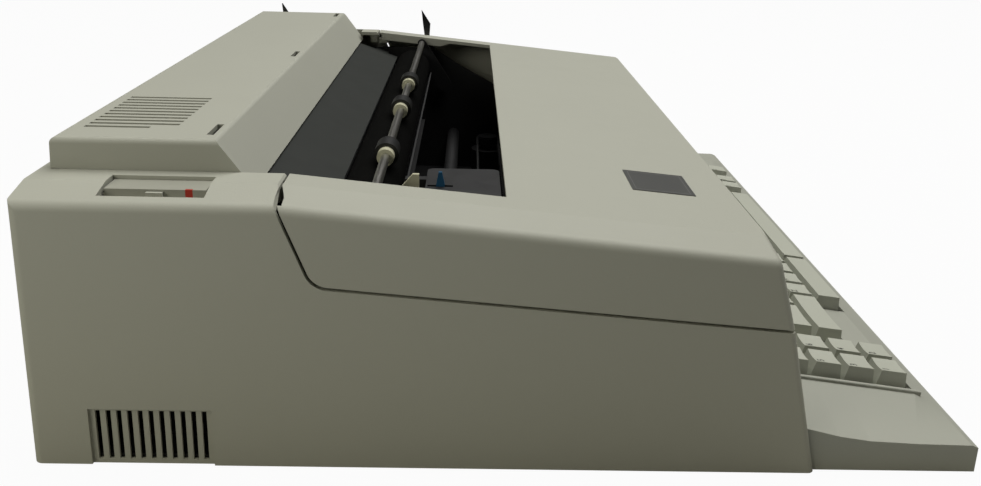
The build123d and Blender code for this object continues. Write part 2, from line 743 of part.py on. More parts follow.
def make_rear_housing():
    housing = housing_shell()
    for lip in both_sides(seam_lip()):
        housing += lip
    wall_top = seam_z(FRONT_WALL_TOP_Y) - SEAM_GAP / 2
    housing += across(side_sketch([
        (FRONT_WALL_TOP_Y, wall_top), (FRONT_WALL_TOP_Y + CASE_WALL, wall_top),
        (FRONT_WALL_FOOT_Y + CASE_WALL, FRONT_WALL_FOOT_Z), (FRONT_WALL_FOOT_Y, FRONT_WALL_FOOT_Z),
    ]), -INNER_HALF - 0.5, INNER_HALF + 0.5)
    inner_rear = RAISED_REAR_Y - CASE_WALL
    housing -= block(
        RAISED_LEFT_X, RAISED_RIGHT_X, RAISED_FOOT_Y, inner_rear, CASE_TOP_Z - 2 * CASE_WALL,
        RAISED_TOP_Z,
    )
    housing -= block(
        -WINDOW_HALF, WINDOW_HALF, SEAM_Y - 5, RAISED_FOOT_Y + 1, CASE_TOP_Z - 2 * CASE_WALL,
        RAISED_TOP_Z,
    )
    lip = SEAM_Y + SEAM_GAP / 2
    housing -= across(side_sketch([
        (lip - 1, CASE_TOP_Z - LIP_BEVEL - 1), (lip + LIP_BEVEL + 1, CASE_TOP_Z + 1), (lip - 1, CASE_TOP_Z + 1),
    ]), -HALF_WIDTH, HALF_WIDTH)
    strip_z = CASE_TOP_Z - FLANGE_DEPTH
    housing += block(
        RAISED_LEFT_X - FLANGE_WALL, RAISED_LEFT_X, RAISED_FOOT_Y, inner_rear + 1, strip_z, CASE_TOP_Z - 1,
    )
    housing += block(
        RAISED_RIGHT_X, RAISED_RIGHT_X + FLANGE_WALL, RAISED_FOOT_Y, inner_rear + 1, strip_z,
        CASE_TOP_Z - 1,
    )
    for sign in (-1, 1):
        housing -= side_vent(sign)
    for x in (-HINGE_X, HINGE_X):
        for rib in hinge_ribs(x):
            housing += rib
        half = HINGE_ARM_WIDTH / 2 + HINGE_SIDE_GAP
        housing -= block(
            x - half, x + half, SEAM_Y - 2, HINGE_Y + HINGE_EYE_R + 1, HINGE_Z,
            HINGE_Z + HINGE_EYE_R + 0.4,
        )
        reach = half + HINGE_RIB
        housing -= rod_x(HINGE_Y, HINGE_Z, HINGE_PIN_R, x - reach, x + reach)
    housing += switch_pocket_box()
    housing -= switch_pocket()
    housing += switch_post()
    mid_y = (SWITCH_FRONT_Y + SWITCH_REAR_Y) / 2
    pin_hole = ROCKER_PIN_R + PIN_RUNNING
    housing -= rod_x(mid_y, rocker_pin_z(), pin_hole, SWITCH_NEAR_X + 1, SWITCH_FAR_X + 3)
    housing -= lever_slot(RELEASE_SLOT_FRONT_Y, RELEASE_SLOT_REAR_Y, CASE_TOP_Z - 10, CASE_TOP_Z + 5)
    inner = INNER_HALF - BOSS_R + BOSS_BITE
    for y in BOSS_YS:
        for x in (-inner, inner):
            housing += rod_z(x, y, BOSS_R, PAN_TOP_Z, BOSS_TOP_Z)
            housing -= rod_z(x, y, SCREW_R, PAN_TOP_Z - 1, PAN_TOP_Z + SCREW_LENGTH)
    housing -= block(
        INLET_X - INLET_WIDTH / 2, INLET_X + INLET_WIDTH / 2, REAR_Y - 15, REAR_Y + 5,
        INLET_Z - INLET_HEIGHT / 2, INLET_Z + INLET_HEIGHT / 2,
    )
    return housing


def make_hinge_pins():
    half = HINGE_ARM_WIDTH / 2 + HINGE_SIDE_GAP + HINGE_RIB
    return [rod_x(HINGE_Y, HINGE_Z, HINGE_PIN_R, x - half, x + half) for x in (-HINGE_X, HINGE_X)]


def make_power_rocker():
    far = SWITCH_FAR_X - ROCKER_SIDE_GAP
    near = far - ROCKER_WIDTH
    mid_y = (SWITCH_FRONT_Y + SWITCH_REAR_Y) / 2
    half = (SWITCH_REAR_Y - SWITCH_FRONT_Y) / 2 - ROCKER_END_GAP
    sketch = side_sketch([
        (mid_y - half, ROCKER_TOP_Z), (mid_y + half, ROCKER_TOP_Z),
        (mid_y + half, ROCKER_TOP_Z - ROCKER_END_HEIGHT), (mid_y + 5, ROCKER_TOP_Z - ROCKER_MID_HEIGHT),
        (mid_y - 5, ROCKER_TOP_Z - ROCKER_MID_HEIGHT), (mid_y - half, ROCKER_TOP_Z - ROCKER_END_HEIGHT),
    ])
    rocker = across(sketch, near, far)
    reach = ROCKER_SIDE_GAP + ROCKER_POST
    return rocker + rod_x(mid_y, rocker_pin_z(), ROCKER_PIN_R, near - reach, far + reach)


def make_rear_top_cover():
    top_rear = RAISED_REAR_Y
    seat = CASE_TOP_Z + SEAT_GAP
    lip_y = RAISED_REAR_Y - CASE_WALL - SEAT_GAP
    left = RAISED_LEFT_X + SEAT_GAP
    right = RAISED_RIGHT_X - SEAT_GAP
    low = RAISED_FOOT_Z
    sketch = side_sketch([
        (RAISED_FOOT_Y, low), (RAISED_CREST_Y, RAISED_TOP_Z), (top_rear, RAISED_TOP_Z),
        (top_rear + 0.8, seat), (lip_y, seat), (lip_y, low),
    ])
    cover = across(sketch, left, right)
    cover = fillet([e for e in cover.edges() if e.center().Z > RAISED_TOP_Z - 0.01], RAISED_ROUND)
    slope = (RAISED_TOP_Z - RAISED_FOOT_Z) / (RAISED_CREST_Y - RAISED_FOOT_Y)
    shift = RAISED_WALL * math.sqrt(1 + slope * slope) / slope
    top = RAISED_TOP_Z - RAISED_WALL
    crest = RAISED_FOOT_Y + (top - low) / slope + shift
    hollow = side_sketch([
        (RAISED_FOOT_Y + shift, low), (crest, top), (top_rear - RAISED_WALL, top),
        (top_rear - RAISED_WALL, seat + RAISED_WALL), (lip_y - RAISED_WALL, seat + RAISED_WALL),
        (lip_y - RAISED_WALL, low - 5), (RAISED_FOOT_Y + shift, low - 5),
    ])
    cover -= across(hollow, left + RAISED_WALL, right - RAISED_WALL)
    half = GRILLE_SLOT_WIDTH / 2
    for index in range(GRILLE_COUNT):
        x = GRILLE_FIRST_X + index * GRILLE_PITCH
        front = GRILLE_SHORT_FRONT_Y if index == 0 else GRILLE_FRONT_Y
        cover -= block(x - half, x + half, front, GRILLE_REAR_Y, top - 1, RAISED_TOP_Z + 1)
    for x in LATCH_SLOT_XS:
        cover -= block(
            x - LATCH_SLOT_LENGTH / 2, x + LATCH_SLOT_LENGTH / 2, LATCH_SLOT_Y - LATCH_SLOT_WIDTH / 2,
            LATCH_SLOT_Y + LATCH_SLOT_WIDTH / 2, top - 1, RAISED_TOP_Z + 1,
        )
    return cover


# Keyboard

KEYBOARD_HALF = INNER_HALF - KEYBOARD_SIDE_GAP
DECK = Plane(
    origin=(0, DECK_REF_Y, DECK_REF_Z), x_dir=(1, 0, 0),
    z_dir=(0, -math.sin(math.radians(DECK_TILT)), math.cos(math.radians(DECK_TILT))),
)


def deck_z(y):
    """Height of the flat key deck at y."""
    return DECK_REF_Z + math.tan(math.radians(DECK_TILT)) * (y - DECK_REF_Y)


def keyboard_section(x, on_edge, inset):
    """Side view wire of the keyboard, at its side edge or at the flat deck, inset for the hollow."""
    ys = [y for y, _ in KEYBOARD_EDGE]
    if on_edge:
        heights = [z for _, z in KEYBOARD_EDGE]
    else:
        ys[1] = LIP_REAR_Y
        heights = [KEYBOARD_EDGE[0][1]] + [deck_z(y) for y in ys[1:]]
    rear_z = KEYBOARD_EDGE_REAR_Z if on_edge else deck_z(KEYBOARD_REAR_Y)
    bottom = CASE_BOTTOM_Z - (5 if inset else 0)
    front = KEYBOARD_FRONT_Y + inset
    rear = KEYBOARD_REAR_Y - inset
    ys[0] += inset
    top = [(x, y, z - inset) for y, z in zip(ys, heights)] + [(x, rear, rear_z - inset)]
    curve = Polyline(*top)
    nose = Line((x, front, KEYBOARD_NOSE_Z - inset), top[0])
    face = Line((x, front, bottom), (x, front, KEYBOARD_NOSE_Z - inset))
    back = Line(top[-1], (x, rear, bottom))
    base = Line((x, rear, bottom), (x, front, bottom))
    return Wire([face, nose, *curve.edges(), back, base])


def keyboard_solid(inset):
    """The wedge: a flat middle between two side zones that fall away to the edges."""
    half = KEYBOARD_HALF - inset
    sections = [
        keyboard_section(-half, True, inset), keyboard_section(-KEYBOARD_RIM_X, False, inset),
        keyboard_section(KEYBOARD_RIM_X, False, inset), keyboard_section(half, True, inset),
    ]
    return loft([Face(s) for s in sections], ruled=True)


def key_cap(left_x, units, row):
    """One key: a tapered cap with a dished top and a square stem."""
    width = units * KEY_PITCH - KEY_GAP
    depth = KEY_PITCH - KEY_GAP
    x = left_x + units * KEY_PITCH / 2
    y = (row + 0.5) * KEY_PITCH
    base = Pos(0, 0, -KEY_SKIRT) * Rectangle(width, depth)
    top_width = width - 2 * KEY_SIDE_INSET
    top_depth = depth - KEY_FRONT_INSET - KEY_REAR_INSET
    shift = (KEY_FRONT_INSET - KEY_REAR_INSET) / 2
    top = Pos(0, shift, KEY_HEIGHT) * Rectangle(top_width, top_depth)
    cap = loft([base, top])
    if units < CODE_UNITS:
        reach = top_width / 2
        dish_r = (reach * reach + KEY_DISH_DEPTH * KEY_DISH_DEPTH) / (2 * KEY_DISH_DEPTH)
        dish = Pos(0, 0, KEY_HEIGHT + dish_r - KEY_DISH_DEPTH) * Rot(90, 0, 0)
        cap -= dish * Cylinder(dish_r, 2 * depth)
    stem_top = -KEY_SKIRT
    stem = Pos(0, 0, stem_top - STEM_LENGTH / 2) * Box(STEM_WIDTH, STEM_WIDTH, STEM_LENGTH)
    return DECK * (Pos(x, y, 0) * (cap + stem))


LEFT_SHIFT_UNITS = 2.75
RIGHT_SHIFT_UNITS = 2.25
RETURN_UNITS = 2.25
LOCK_UNITS = 1.75
TAB_UNITS = 1.5
BACKSPACE_UNITS = 2.0
LETTER_COUNT = 10
HOME_COUNT = 11
UPPER_COUNT = 12
NUMBER_COUNT = 13


def key_table():
    """Every key, by the node that holds it, as (left edge, width in units, row from the front)."""
    shift_right = MAIN_LEFT_X + (LEFT_SHIFT_UNITS + LETTER_COUNT) * KEY_PITCH
    return_left = MAIN_LEFT_X + (LOCK_UNITS + HOME_COUNT) * KEY_PITCH
    backspace_left = MAIN_LEFT_X + NUMBER_COUNT * KEY_PITCH
    columns = {
        "left_function_keys": [LEFT_BLOCK_X, LEFT_BLOCK_X + KEY_PITCH],
        "right_function_keys": [RIGHT_BLOCK_X, RIGHT_BLOCK_X + KEY_PITCH, FAR_BLOCK_X],
    }
    table = {
        "code_key": [(FRONT_ROW_X, CODE_UNITS, 0)],
        "space_bar": [(FRONT_ROW_X + CODE_UNITS * KEY_PITCH, SPACE_UNITS, 0)],
        "left_shift_key": [(MAIN_LEFT_X, LEFT_SHIFT_UNITS, 1)],
        "right_shift_key": [(shift_right, RIGHT_SHIFT_UNITS, 1)],
        "lower_row_keys": [
            (MAIN_LEFT_X + (LEFT_SHIFT_UNITS + i) * KEY_PITCH, 1, 1) for i in range(LETTER_COUNT)
        ],
        "home_row_keys": [(MAIN_LEFT_X, LOCK_UNITS, 2)] + [
            (MAIN_LEFT_X + (LOCK_UNITS + i) * KEY_PITCH, 1, 2) for i in range(HOME_COUNT)
        ],
        "return_key": [(return_left, RETURN_UNITS, 2)],
        "upper_row_keys": [(MAIN_LEFT_X, TAB_UNITS, 3)] + [
            (MAIN_LEFT_X + (TAB_UNITS + i) * KEY_PITCH, 1, 3) for i in range(UPPER_COUNT)
        ] + [(MAIN_LEFT_X + (TAB_UNITS + UPPER_COUNT) * KEY_PITCH, TAB_UNITS, 3)],
        "number_row_keys": [(MAIN_LEFT_X + i * KEY_PITCH, 1, 4) for i in range(NUMBER_COUNT)],
        "backspace_key": [(backspace_left, BACKSPACE_UNITS, 4)],
    }
    for name, lefts in columns.items():
        table[name] = [(left, 1, row) for left in lefts for row in range(ROW_COUNT)]
    return table


def deck_cut(left_x, units, first_row, rows):
    """Cutter for the well round a block of keys, square to the deck."""
    grow = WELL_MARGIN - KEY_GAP / 2
    width = units * KEY_PITCH + 2 * grow
    depth = rows * KEY_PITCH + 2 * grow + WELL_FRONT
    x = left_x + units * KEY_PITCH / 2
    y = (first_row + rows / 2) * KEY_PITCH - WELL_FRONT / 2
    return DECK * (Pos(x, y, 0) * Box(width, depth, 6 * KEYBOARD_WALL))


def make_keyboard_top():
    top = keyboard_solid(0) - keyboard_solid(KEYBOARD_WALL)
    main_units = LEFT_SHIFT_UNITS + LETTER_COUNT + RIGHT_SHIFT_UNITS
    top -= deck_cut(LEFT_BLOCK_X, 2, 0, ROW_COUNT)
    top -= deck_cut(MAIN_LEFT_X, main_units, 1, ROW_COUNT - 1)
    top -= deck_cut(FRONT_ROW_X, CODE_UNITS + SPACE_UNITS, 0, 1)
    top -= deck_cut(RIGHT_BLOCK_X, 2, 0, ROW_COUNT)
    top -= deck_cut(FAR_BLOCK_X, 1, 0, ROW_COUNT)
    mid = (BEAD_FRONT_Y + BEAD_REAR_Y) / 2
    length = BEAD_REAR_Y - BEAD_FRONT_Y
    bead = Box(BEAD_WIDTH, length, 2 * BEAD_HEIGHT)
    bead = fillet([e for e in bead.edges() if e.center().Z > BEAD_HEIGHT - 0.01], BEAD_WIDTH * 0.35)
    top += DECK * (Pos(-BEAD_X, mid - DECK_REF_Y, 0) * bead)
    return top


def key_stem_points():
    return [
        (left + units * KEY_PITCH / 2, (row + 0.5) * KEY_PITCH)
        for keys in key_table().values() for left, units, row in keys
    ]


def make_key_switch_plate():
    left = LEFT_BLOCK_X - PLATE_EDGE
    right = FAR_BLOCK_X + KEY_PITCH + PLATE_EDGE
    depth = ROW_COUNT * KEY_PITCH
    sketch = Pos((left + right) / 2, depth / 2, 0) * Rectangle(right - left, depth)
    hole = STEM_WIDTH + 2 * STEM_CLEAR
    for x, y in key_stem_points():
        sketch -= Pos(x, y, 0) * Rectangle(hole, hole)
    plate = extrude(sketch, PLATE_THICK)
    return DECK * (Pos(0, 0, -PLATE_DROP) * plate)


def make_keyboard_board():
    left = LEFT_BLOCK_X
    right = FAR_BLOCK_X + KEY_PITCH
    depth = ROW_COUNT * KEY_PITCH - 2 * BOARD_EDGE
    board = Pos((left + right) / 2, depth / 2 + BOARD_EDGE, 0) * Box(right - left, depth, BOARD_THICK)
    return DECK * (Pos(0, 0, -BOARD_DROP) * board)


def make_keyboard_base():
    half = KEYBOARD_HALF - KEYBOARD_WALL - PAN_GAP
    front = KEYBOARD_FRONT_Y + KEYBOARD_WALL + PAN_GAP
    rear = KEYBOARD_REAR_Y - KEYBOARD_WALL - PAN_GAP
    low = CASE_BOTTOM_Z + WELD
    tray = block(-half, half, front, rear, low, low + PAN_WALL)
    rear_rib_y = DECK_REF_Y + ROW_COUNT * KEY_PITCH - TRAY_RIB_INSET
    rear_rib_z = deck_z(rear_rib_y) - BOARD_DROP - BOARD_THICK
    half_rib = TRAY_RIB_WIDTH / 2
    for x in TRAY_RIB_XS:
        tray += block(x - half_rib, x + half_rib, rear_rib_y - 3, rear_rib_y + 1, low, rear_rib_z)
    start = DECK * Pos(0, TRAY_RIB_INSET, -PLATE_DROP)
    end = DECK * Pos(0, ROW_COUNT * KEY_PITCH - TRAY_RIB_INSET, -PLATE_DROP)
    front_point = (start.position.Y, start.position.Z)
    rear_point = (end.position.Y, end.position.Z)
    wall = side_sketch([front_point, rear_point, (rear_point[0], low + 1), (front_point[0], low + 1)])
    left = LEFT_BLOCK_X - PLATE_EDGE
    right = FAR_BLOCK_X + KEY_PITCH + PLATE_EDGE
    tray += across(wall, left, left + PLATE_EDGE - WELD)
    tray += across(wall, right - PLATE_EDGE + WELD, right)
    return tray


# Bottom tray, feet and screws

def make_base_pan():
    half = INNER_HALF - PAN_GAP
    front = KEYBOARD_REAR_Y + PAN_GAP
    rear = rear_y(PAN_BOTTOM_Z) - CASE_WALL - PAN_GAP
    pan = block(-half, half, front, rear, PAN_BOTTOM_Z, PAN_TOP_Z)
    corners = [e for e in pan.edges().filter_by(Axis.Z) if e.center().Y > 0]
    pan = fillet(corners, LONG_EDGE_ROUND)
    lip_half = half - LONG_EDGE_ROUND
    lip_top = PAN_TOP_Z + PAN_LIP_HEIGHT
    lip_lean = REAR_LEAN * (lip_top - PAN_BOTTOM_Z) / (CASE_TOP_Z - CASE_BOTTOM_Z)
    lip_rear = rear - lip_lean
    lip = block(-lip_half, lip_half, lip_rear - PAN_WALL, lip_rear, PAN_TOP_Z - 1, lip_top)
    inner = INNER_HALF - BOSS_R + BOSS_BITE
    pan += lip
    for y in BOSS_YS:
        for x in (-inner, inner):
            pan -= rod_z(x, y, SCREW_R + 0.3, PAN_BOTTOM_Z - 1, PAN_TOP_Z + 1)
    return pan


def make_case_screws():
    inner = INNER_HALF - BOSS_R + BOSS_BITE
    screws = []
    for y in BOSS_YS:
        for x in (-inner, inner):
            shank = rod_z(x, y, SCREW_R, PAN_BOTTOM_Z, PAN_BOTTOM_Z + SCREW_LENGTH)
            head = rod_z(x, y, SCREW_HEAD_R, PAN_BOTTOM_Z - SCREW_HEAD_HEIGHT, PAN_BOTTOM_Z)
            screws.append(shank + head)
    return screws


def make_feet():
    low = CASE_BOTTOM_Z + WELD
    rear = [rod_z(x, FOOT_REAR_Y, FOOT_R, 0, PAN_BOTTOM_Z) for x in (-FOOT_X, FOOT_X)]
    front = [rod_z(x, FOOT_FRONT_Y, FOOT_R, 0, low) for x in (-FOOT_X, FOOT_X)]
    return rear + front


# Frame, platen and paper feed

def make_side_frames():
    sketch = side_sketch([(y, z + PAN_TOP_Z) for y, z in FRAME_OUTLINE])
    plate = across(sketch, FRAME_INNER_X, FRAME_OUTER_X)
    span = (FRAME_INNER_X - 1, FRAME_OUTER_X + 1)
    plate -= rod_x(PLATEN_Y, PLATEN_Z, PLATEN_SHAFT_R + PIN_RUNNING, *span)
    plate -= rod_x(BAIL_PIVOT_Y, BAIL_PIVOT_Z, BAIL_PIVOT_R + PIN_RUNNING, *span)
    plate -= rod_x(CRADLE_Y, CRADLE_Z, CRADLE_PIVOT_R + PIN_RUNNING, *span)
    plate -= rod_x(RAIL_REAR_Y, RAIL_Z, RAIL_R, *span)
    plate -= rod_x(RAIL_FRONT_Y, RAIL_Z, RAIL_R, *span)
    foot = block(
        FRAME_OUTER_X - WELD, FRAME_OUTER_X + FRAME_FOOT_WIDTH, FRAME_FOOT_FRONT_Y,
        FRAME_FOOT_REAR_Y, PAN_TOP_Z, PAN_TOP_Z + FRAME_FOOT_THICK,
    )
    plate += foot
    right, left = both_sides(plate)
    right -= rod_x(RELEASE_PIVOT_Y, RELEASE_PIVOT_Z, BAIL_PIVOT_R + PIN_RUNNING, *span)
    pinion_y, pinion_z = pinion_centre()
    left -= rod_x(pinion_y, pinion_z, PINION_TEETH * GEAR_MODULE / 2 + 2, -span[1], -span[0])
    return [right, left]


def pinion_centre():
    reach = GEAR_MODULE * (PLATEN_TEETH + PINION_TEETH) / 2
    return polar_point(PLATEN_Y, PLATEN_Z, reach, PINION_ANGLE)


def gear(teeth, bore_r, width, turn):
    """A straight toothed gear, drawn flat and standing up along Z."""
    pitch_r = teeth * GEAR_MODULE / 2
    root_r = pitch_r - 1.25 * GEAR_MODULE
    tip_r = pitch_r + 0.9 * GEAR_MODULE
    step = 360 / teeth
    points = []
    for index in range(teeth):
        middle = turn + index * step
        for radius, part in ((root_r, -0.30), (tip_r, -0.11), (tip_r, 0.11), (root_r, 0.30)):
            angle = math.radians(middle + part * step)
            points.append((radius * math.cos(angle), radius * math.sin(angle)))
    sketch = make_face(Polyline(*points, close=True)) - Circle(bore_r)
    return extrude(sketch, width)


def on_x_axis(part, x, y, z):
    """Stand a part drawn in the flat on the side view plane at x, facing +X."""
    return Plane(origin=(x, y, z), x_dir=(0, 1, 0), z_dir=(1, 0, 0)) * part


def make_platen():
    roller = rod_x(PLATEN_Y, PLATEN_Z, PLATEN_R, -PLATEN_HALF, PLATEN_HALF)
    roller -= rod_x(PLATEN_Y, PLATEN_Z, PLATEN_SHAFT_R, -PLATEN_HALF - 1, PLATEN_HALF + 1)
    left = -FRAME_OUTER_X - GEAR_FRAME_GAP - GEAR_WIDTH - 1
    shaft = rod_x(PLATEN_Y, PLATEN_Z, PLATEN_SHAFT_R, left, FRAME_OUTER_X + PLATEN_SHAFT_END)
    gear_x = -FRAME_OUTER_X - GEAR_FRAME_GAP - GEAR_WIDTH
    wheel = on_x_axis(gear(PLATEN_TEETH, PLATEN_SHAFT_R, GEAR_WIDTH, PINION_ANGLE), gear_x, PLATEN_Y, PLATEN_Z)
    return roller, shaft, wheel


def make_platen_drive():
    """The stepper on the left frame, and its pinion in mesh with the platen gear."""
    y, z = pinion_centre()
    gear_x = -FRAME_OUTER_X - GEAR_FRAME_GAP - GEAR_WIDTH
    turn = PINION_ANGLE + 180 + 180 / PINION_TEETH
    pinion = on_x_axis(gear(PINION_TEETH, PINION_BORE_R, GEAR_WIDTH, turn), gear_x, y, z)
    pinion += rod_x(y, z, PINION_BORE_R, gear_x, -FRAME_INNER_X + PINION_SOCKET)
    can = rod_x(y, z, STEPPER_R, -FRAME_INNER_X, -FRAME_INNER_X + STEPPER_LENGTH)
    bore = PINION_BORE_R + PIN_RUNNING
    can -= rod_x(y, z, bore, -FRAME_INNER_X - 1, -FRAME_INNER_X + PINION_SOCKET + WELD)
    return can, pinion


def feed_centre():
    return polar_point(PLATEN_Y, PLATEN_Z, PLATEN_R + FEED_R + FEED_GAP, FEED_ANGLE)


def make_feed_rollers():
    y, z = feed_centre()
    half = FEED_ROLLER_LENGTH / 2
    rollers = []
    for x in FEED_ROLLER_XS:
        roller = rod_x(y, z, FEED_R, x - half, x + half)
        rollers.append(roller - rod_x(y, z, FEED_SHAFT_R, x - half - 1, x + half + 1))
    shaft = rod_x(y, z, FEED_SHAFT_R, -FEED_SHAFT_HALF, FEED_SHAFT_HALF)
    return rollers, shaft


def make_feed_cradle():
    y, z = feed_centre()
    ear_y = y - FEED_SHAFT_R - CRADLE_EAR_MARGIN
    plate_z = CRADLE_Z - CRADLE_PLATE_DROP
    cradle = rod_x(CRADLE_Y, CRADLE_Z, CRADLE_PIVOT_R, -FRAME_OUTER_X - 1, FRAME_OUTER_X + 1)
    cradle += block(
        -CRADLE_EAR_X - CRADLE_PLATE, CRADLE_EAR_X + CRADLE_PLATE, ear_y, CRADLE_Y,
        plate_z - CRADLE_PLATE, plate_z,
    )
    for x in (-CRADLE_EAR_X, CRADLE_EAR_X):
        ear = side_sketch([
            (ear_y, plate_z - 1), (CRADLE_Y, plate_z - 1), (CRADLE_Y, CRADLE_Z),
            (y + FEED_SHAFT_R + CRADLE_EAR_MARGIN, z + 2), (y, z + FEED_SHAFT_R + 1.2), (ear_y, z + 2),
        ])
        bore = rod_x(y, z, FEED_SHAFT_R + PIN_RUNNING, x - 5, x + 5)
        cradle += across(ear, x - CRADLE_PLATE / 2, x + CRADLE_PLATE / 2) - bore
    return cradle


def arc_band(y, z, inner_r, outer_r, start, end):
    """Side view sketch of a curved strip round a centre."""
    mid = (start + end) / 2
    a0, am, a1 = (polar_point(y, z, outer_r, d) for d in (start, mid, end))
    b0, bm, b1 = (polar_point(y, z, inner_r, d) for d in (start, mid, end))
    return make_face([
        ThreePointArc(a0, am, a1), Line(a1, b1), ThreePointArc(b1, bm, b0), Line(b0, a0),
    ])


def make_paper_guide():
    inner = PLATEN_R + GUIDE_CLEAR
    band = arc_band(PLATEN_Y, PLATEN_Z, inner, inner + GUIDE_THICK, GUIDE_START, GUIDE_END)
    guide = across(band, -GUIDE_HALF, GUIDE_HALF)
    y, z = feed_centre()
    half = FEED_ROLLER_LENGTH / 2 + 2
    for x in FEED_ROLLER_XS:
        guide -= rod_x(y, z, FEED_R + GUIDE_ROLLER_CLEAR, x - half, x + half)
    rear_y_, rear_z = polar_point(PLATEN_Y, PLATEN_Z, inner, 0)
    tab = block(
        GUIDE_HALF - 1, FRAME_INNER_X, rear_y_, rear_y_ + GUIDE_THICK, rear_z - GUIDE_TAB_HEIGHT, rear_z,
    )
    guide += tab
    guide += mirror(tab, about=Plane.YZ)
    return guide


def make_paper_table():
    run_y = TABLE_TOP_Y - TABLE_FOOT_Y
    run_z = TABLE_TOP_Z - TABLE_FOOT_Z
    length = math.hypot(run_y, run_z)
    down = (TABLE_THICK * run_z / length, -TABLE_THICK * run_y / length)
    foot = (TABLE_FOOT_Y, TABLE_FOOT_Z)
    top = (TABLE_TOP_Y, TABLE_TOP_Z)
    table = across(side_sketch([
        foot, top, (top[0] + down[0], top[1] + down[1]), (foot[0] + down[0], foot[1] + down[1]),
    ]), -TABLE_HALF, TABLE_HALF)
    share = TABLE_EAR_SHARE
    short = TABLE_EAR_SHORT
    inner_foot = (foot[0] + share * run_y, foot[1] + share * run_z)
    inner_top = (
        foot[0] + (1 - share) * run_y - short, foot[1] + (1 - share) * run_z - short * run_z / run_y,
    )
    ear = side_sketch([
        inner_foot, inner_top, (inner_top[0] + down[0], inner_top[1] + down[1]),
        (inner_foot[0] + down[0], inner_foot[1] + down[1]),
    ])
    for x0, x1 in ((-FRAME_INNER_X, -TABLE_HALF + 1), (TABLE_HALF - 1, FRAME_INNER_X)):
        table += across(ear, x0, x1)
    return table


def make_bail():
    shaft_half = BAIL_ARM_X + BAIL_ARM_THICK
    shaft = rod_x(BAIL_Y, BAIL_Z, BAIL_R, -shaft_half, shaft_half)
    centre = (BAIL_PIVOT_Y, BAIL_PIVOT_Z)
    run_y = BAIL_Y - centre[0]
    run_z = BAIL_Z - centre[1]
    length = math.hypot(run_y, run_z)
    side = (-run_z / length, run_y / length)
    low = BAIL_ARM_LOW_R
    high = BAIL_ARM_HIGH_R
    sketch = side_sketch([
        (centre[0] + side[0] * low, centre[1] + side[1] * low),
        (BAIL_Y + side[0] * high, BAIL_Z + side[1] * high),
        (BAIL_Y - side[0] * high, BAIL_Z - side[1] * high),
        (centre[0] - side[0] * low, centre[1] - side[1] * low),
    ])
    x0 = BAIL_ARM_X
    x1 = BAIL_ARM_X + BAIL_ARM_THICK
    arm = across(sketch, x0, x1) + rod_x(*centre, low, x0, x1) + rod_x(BAIL_Y, BAIL_Z, high, x0, x1)
    arm -= rod_x(BAIL_Y, BAIL_Z, BAIL_R, x0 - 1, x1 + 1)
    right = arm + rod_x(*centre, BAIL_PIVOT_R, x1 - WELD, LEVER_X + LEVER_THICK)
    left = mirror(arm + rod_x(*centre, BAIL_PIVOT_R, x1 - WELD, FRAME_OUTER_X + 2), about=Plane.YZ)
    return shaft, [left, right]


def lever_blade(shift_y, rise):
    return [(y + shift_y, z + rise) for y, z in LEVER_BLADE]


def make_bail_lever():
    blade = lever_blade(0, 0)
    stalk = side_sketch([
        (BAIL_PIVOT_Y - 4, BAIL_PIVOT_Z), blade[0], *blade[1:], (BAIL_PIVOT_Y + 5, BAIL_PIVOT_Z),
    ])
    x0 = LEVER_X
    x1 = LEVER_X + LEVER_THICK
    lever = across(stalk, x0, x1) + rod_x(BAIL_PIVOT_Y, BAIL_PIVOT_Z, LEVER_HUB_R, x0, x1)
    return lever - rod_x(BAIL_PIVOT_Y, BAIL_PIVOT_Z, BAIL_PIVOT_R, x0 - 1, x1 + 1)


def make_release_lever():
    blade = lever_blade(RELEASE_SHIFT_Y, RELEASE_RISE)
    stalk = side_sketch([
        (RELEASE_PIVOT_Y - 4, RELEASE_PIVOT_Z), *blade, (RELEASE_PIVOT_Y + 5, RELEASE_PIVOT_Z),
    ])
    x0 = LEVER_X
    x1 = LEVER_X + LEVER_THICK
    lever = across(stalk, x0, x1) + rod_x(RELEASE_PIVOT_Y, RELEASE_PIVOT_Z, LEVER_HUB_R, x0, x1)
    return lever + rod_x(RELEASE_PIVOT_Y, RELEASE_PIVOT_Z, BAIL_PIVOT_R, FRAME_INNER_X - 2, x0 + 1)


def make_bail_roller(x):
    tyre_half = BAIL_TYRE_LENGTH / 2
    hub_half = BAIL_HUB_LENGTH / 2
    tyre = rod_x(BAIL_Y, BAIL_Z, BAIL_TYRE_R, x - tyre_half, x + tyre_half)
    tyre -= rod_x(BAIL_Y, BAIL_Z, BAIL_HUB_R, x - tyre_half - 1, x + tyre_half + 1)
    hub = rod_x(BAIL_Y, BAIL_Z, BAIL_HUB_R, x - hub_half, x + hub_half)
    hub -= rod_x(BAIL_Y, BAIL_Z, BAIL_R + PIN_RUNNING, x - hub_half - 1, x + hub_half + 1)
    return [tyre, hub]


# Carriage

def make_rails():
    span = (-FRAME_OUTER_X - 1, FRAME_OUTER_X + 1)
    return [rod_x(RAIL_REAR_Y, RAIL_Z, RAIL_R, *span), rod_x(RAIL_FRONT_Y, RAIL_Z, RAIL_R, *span)]


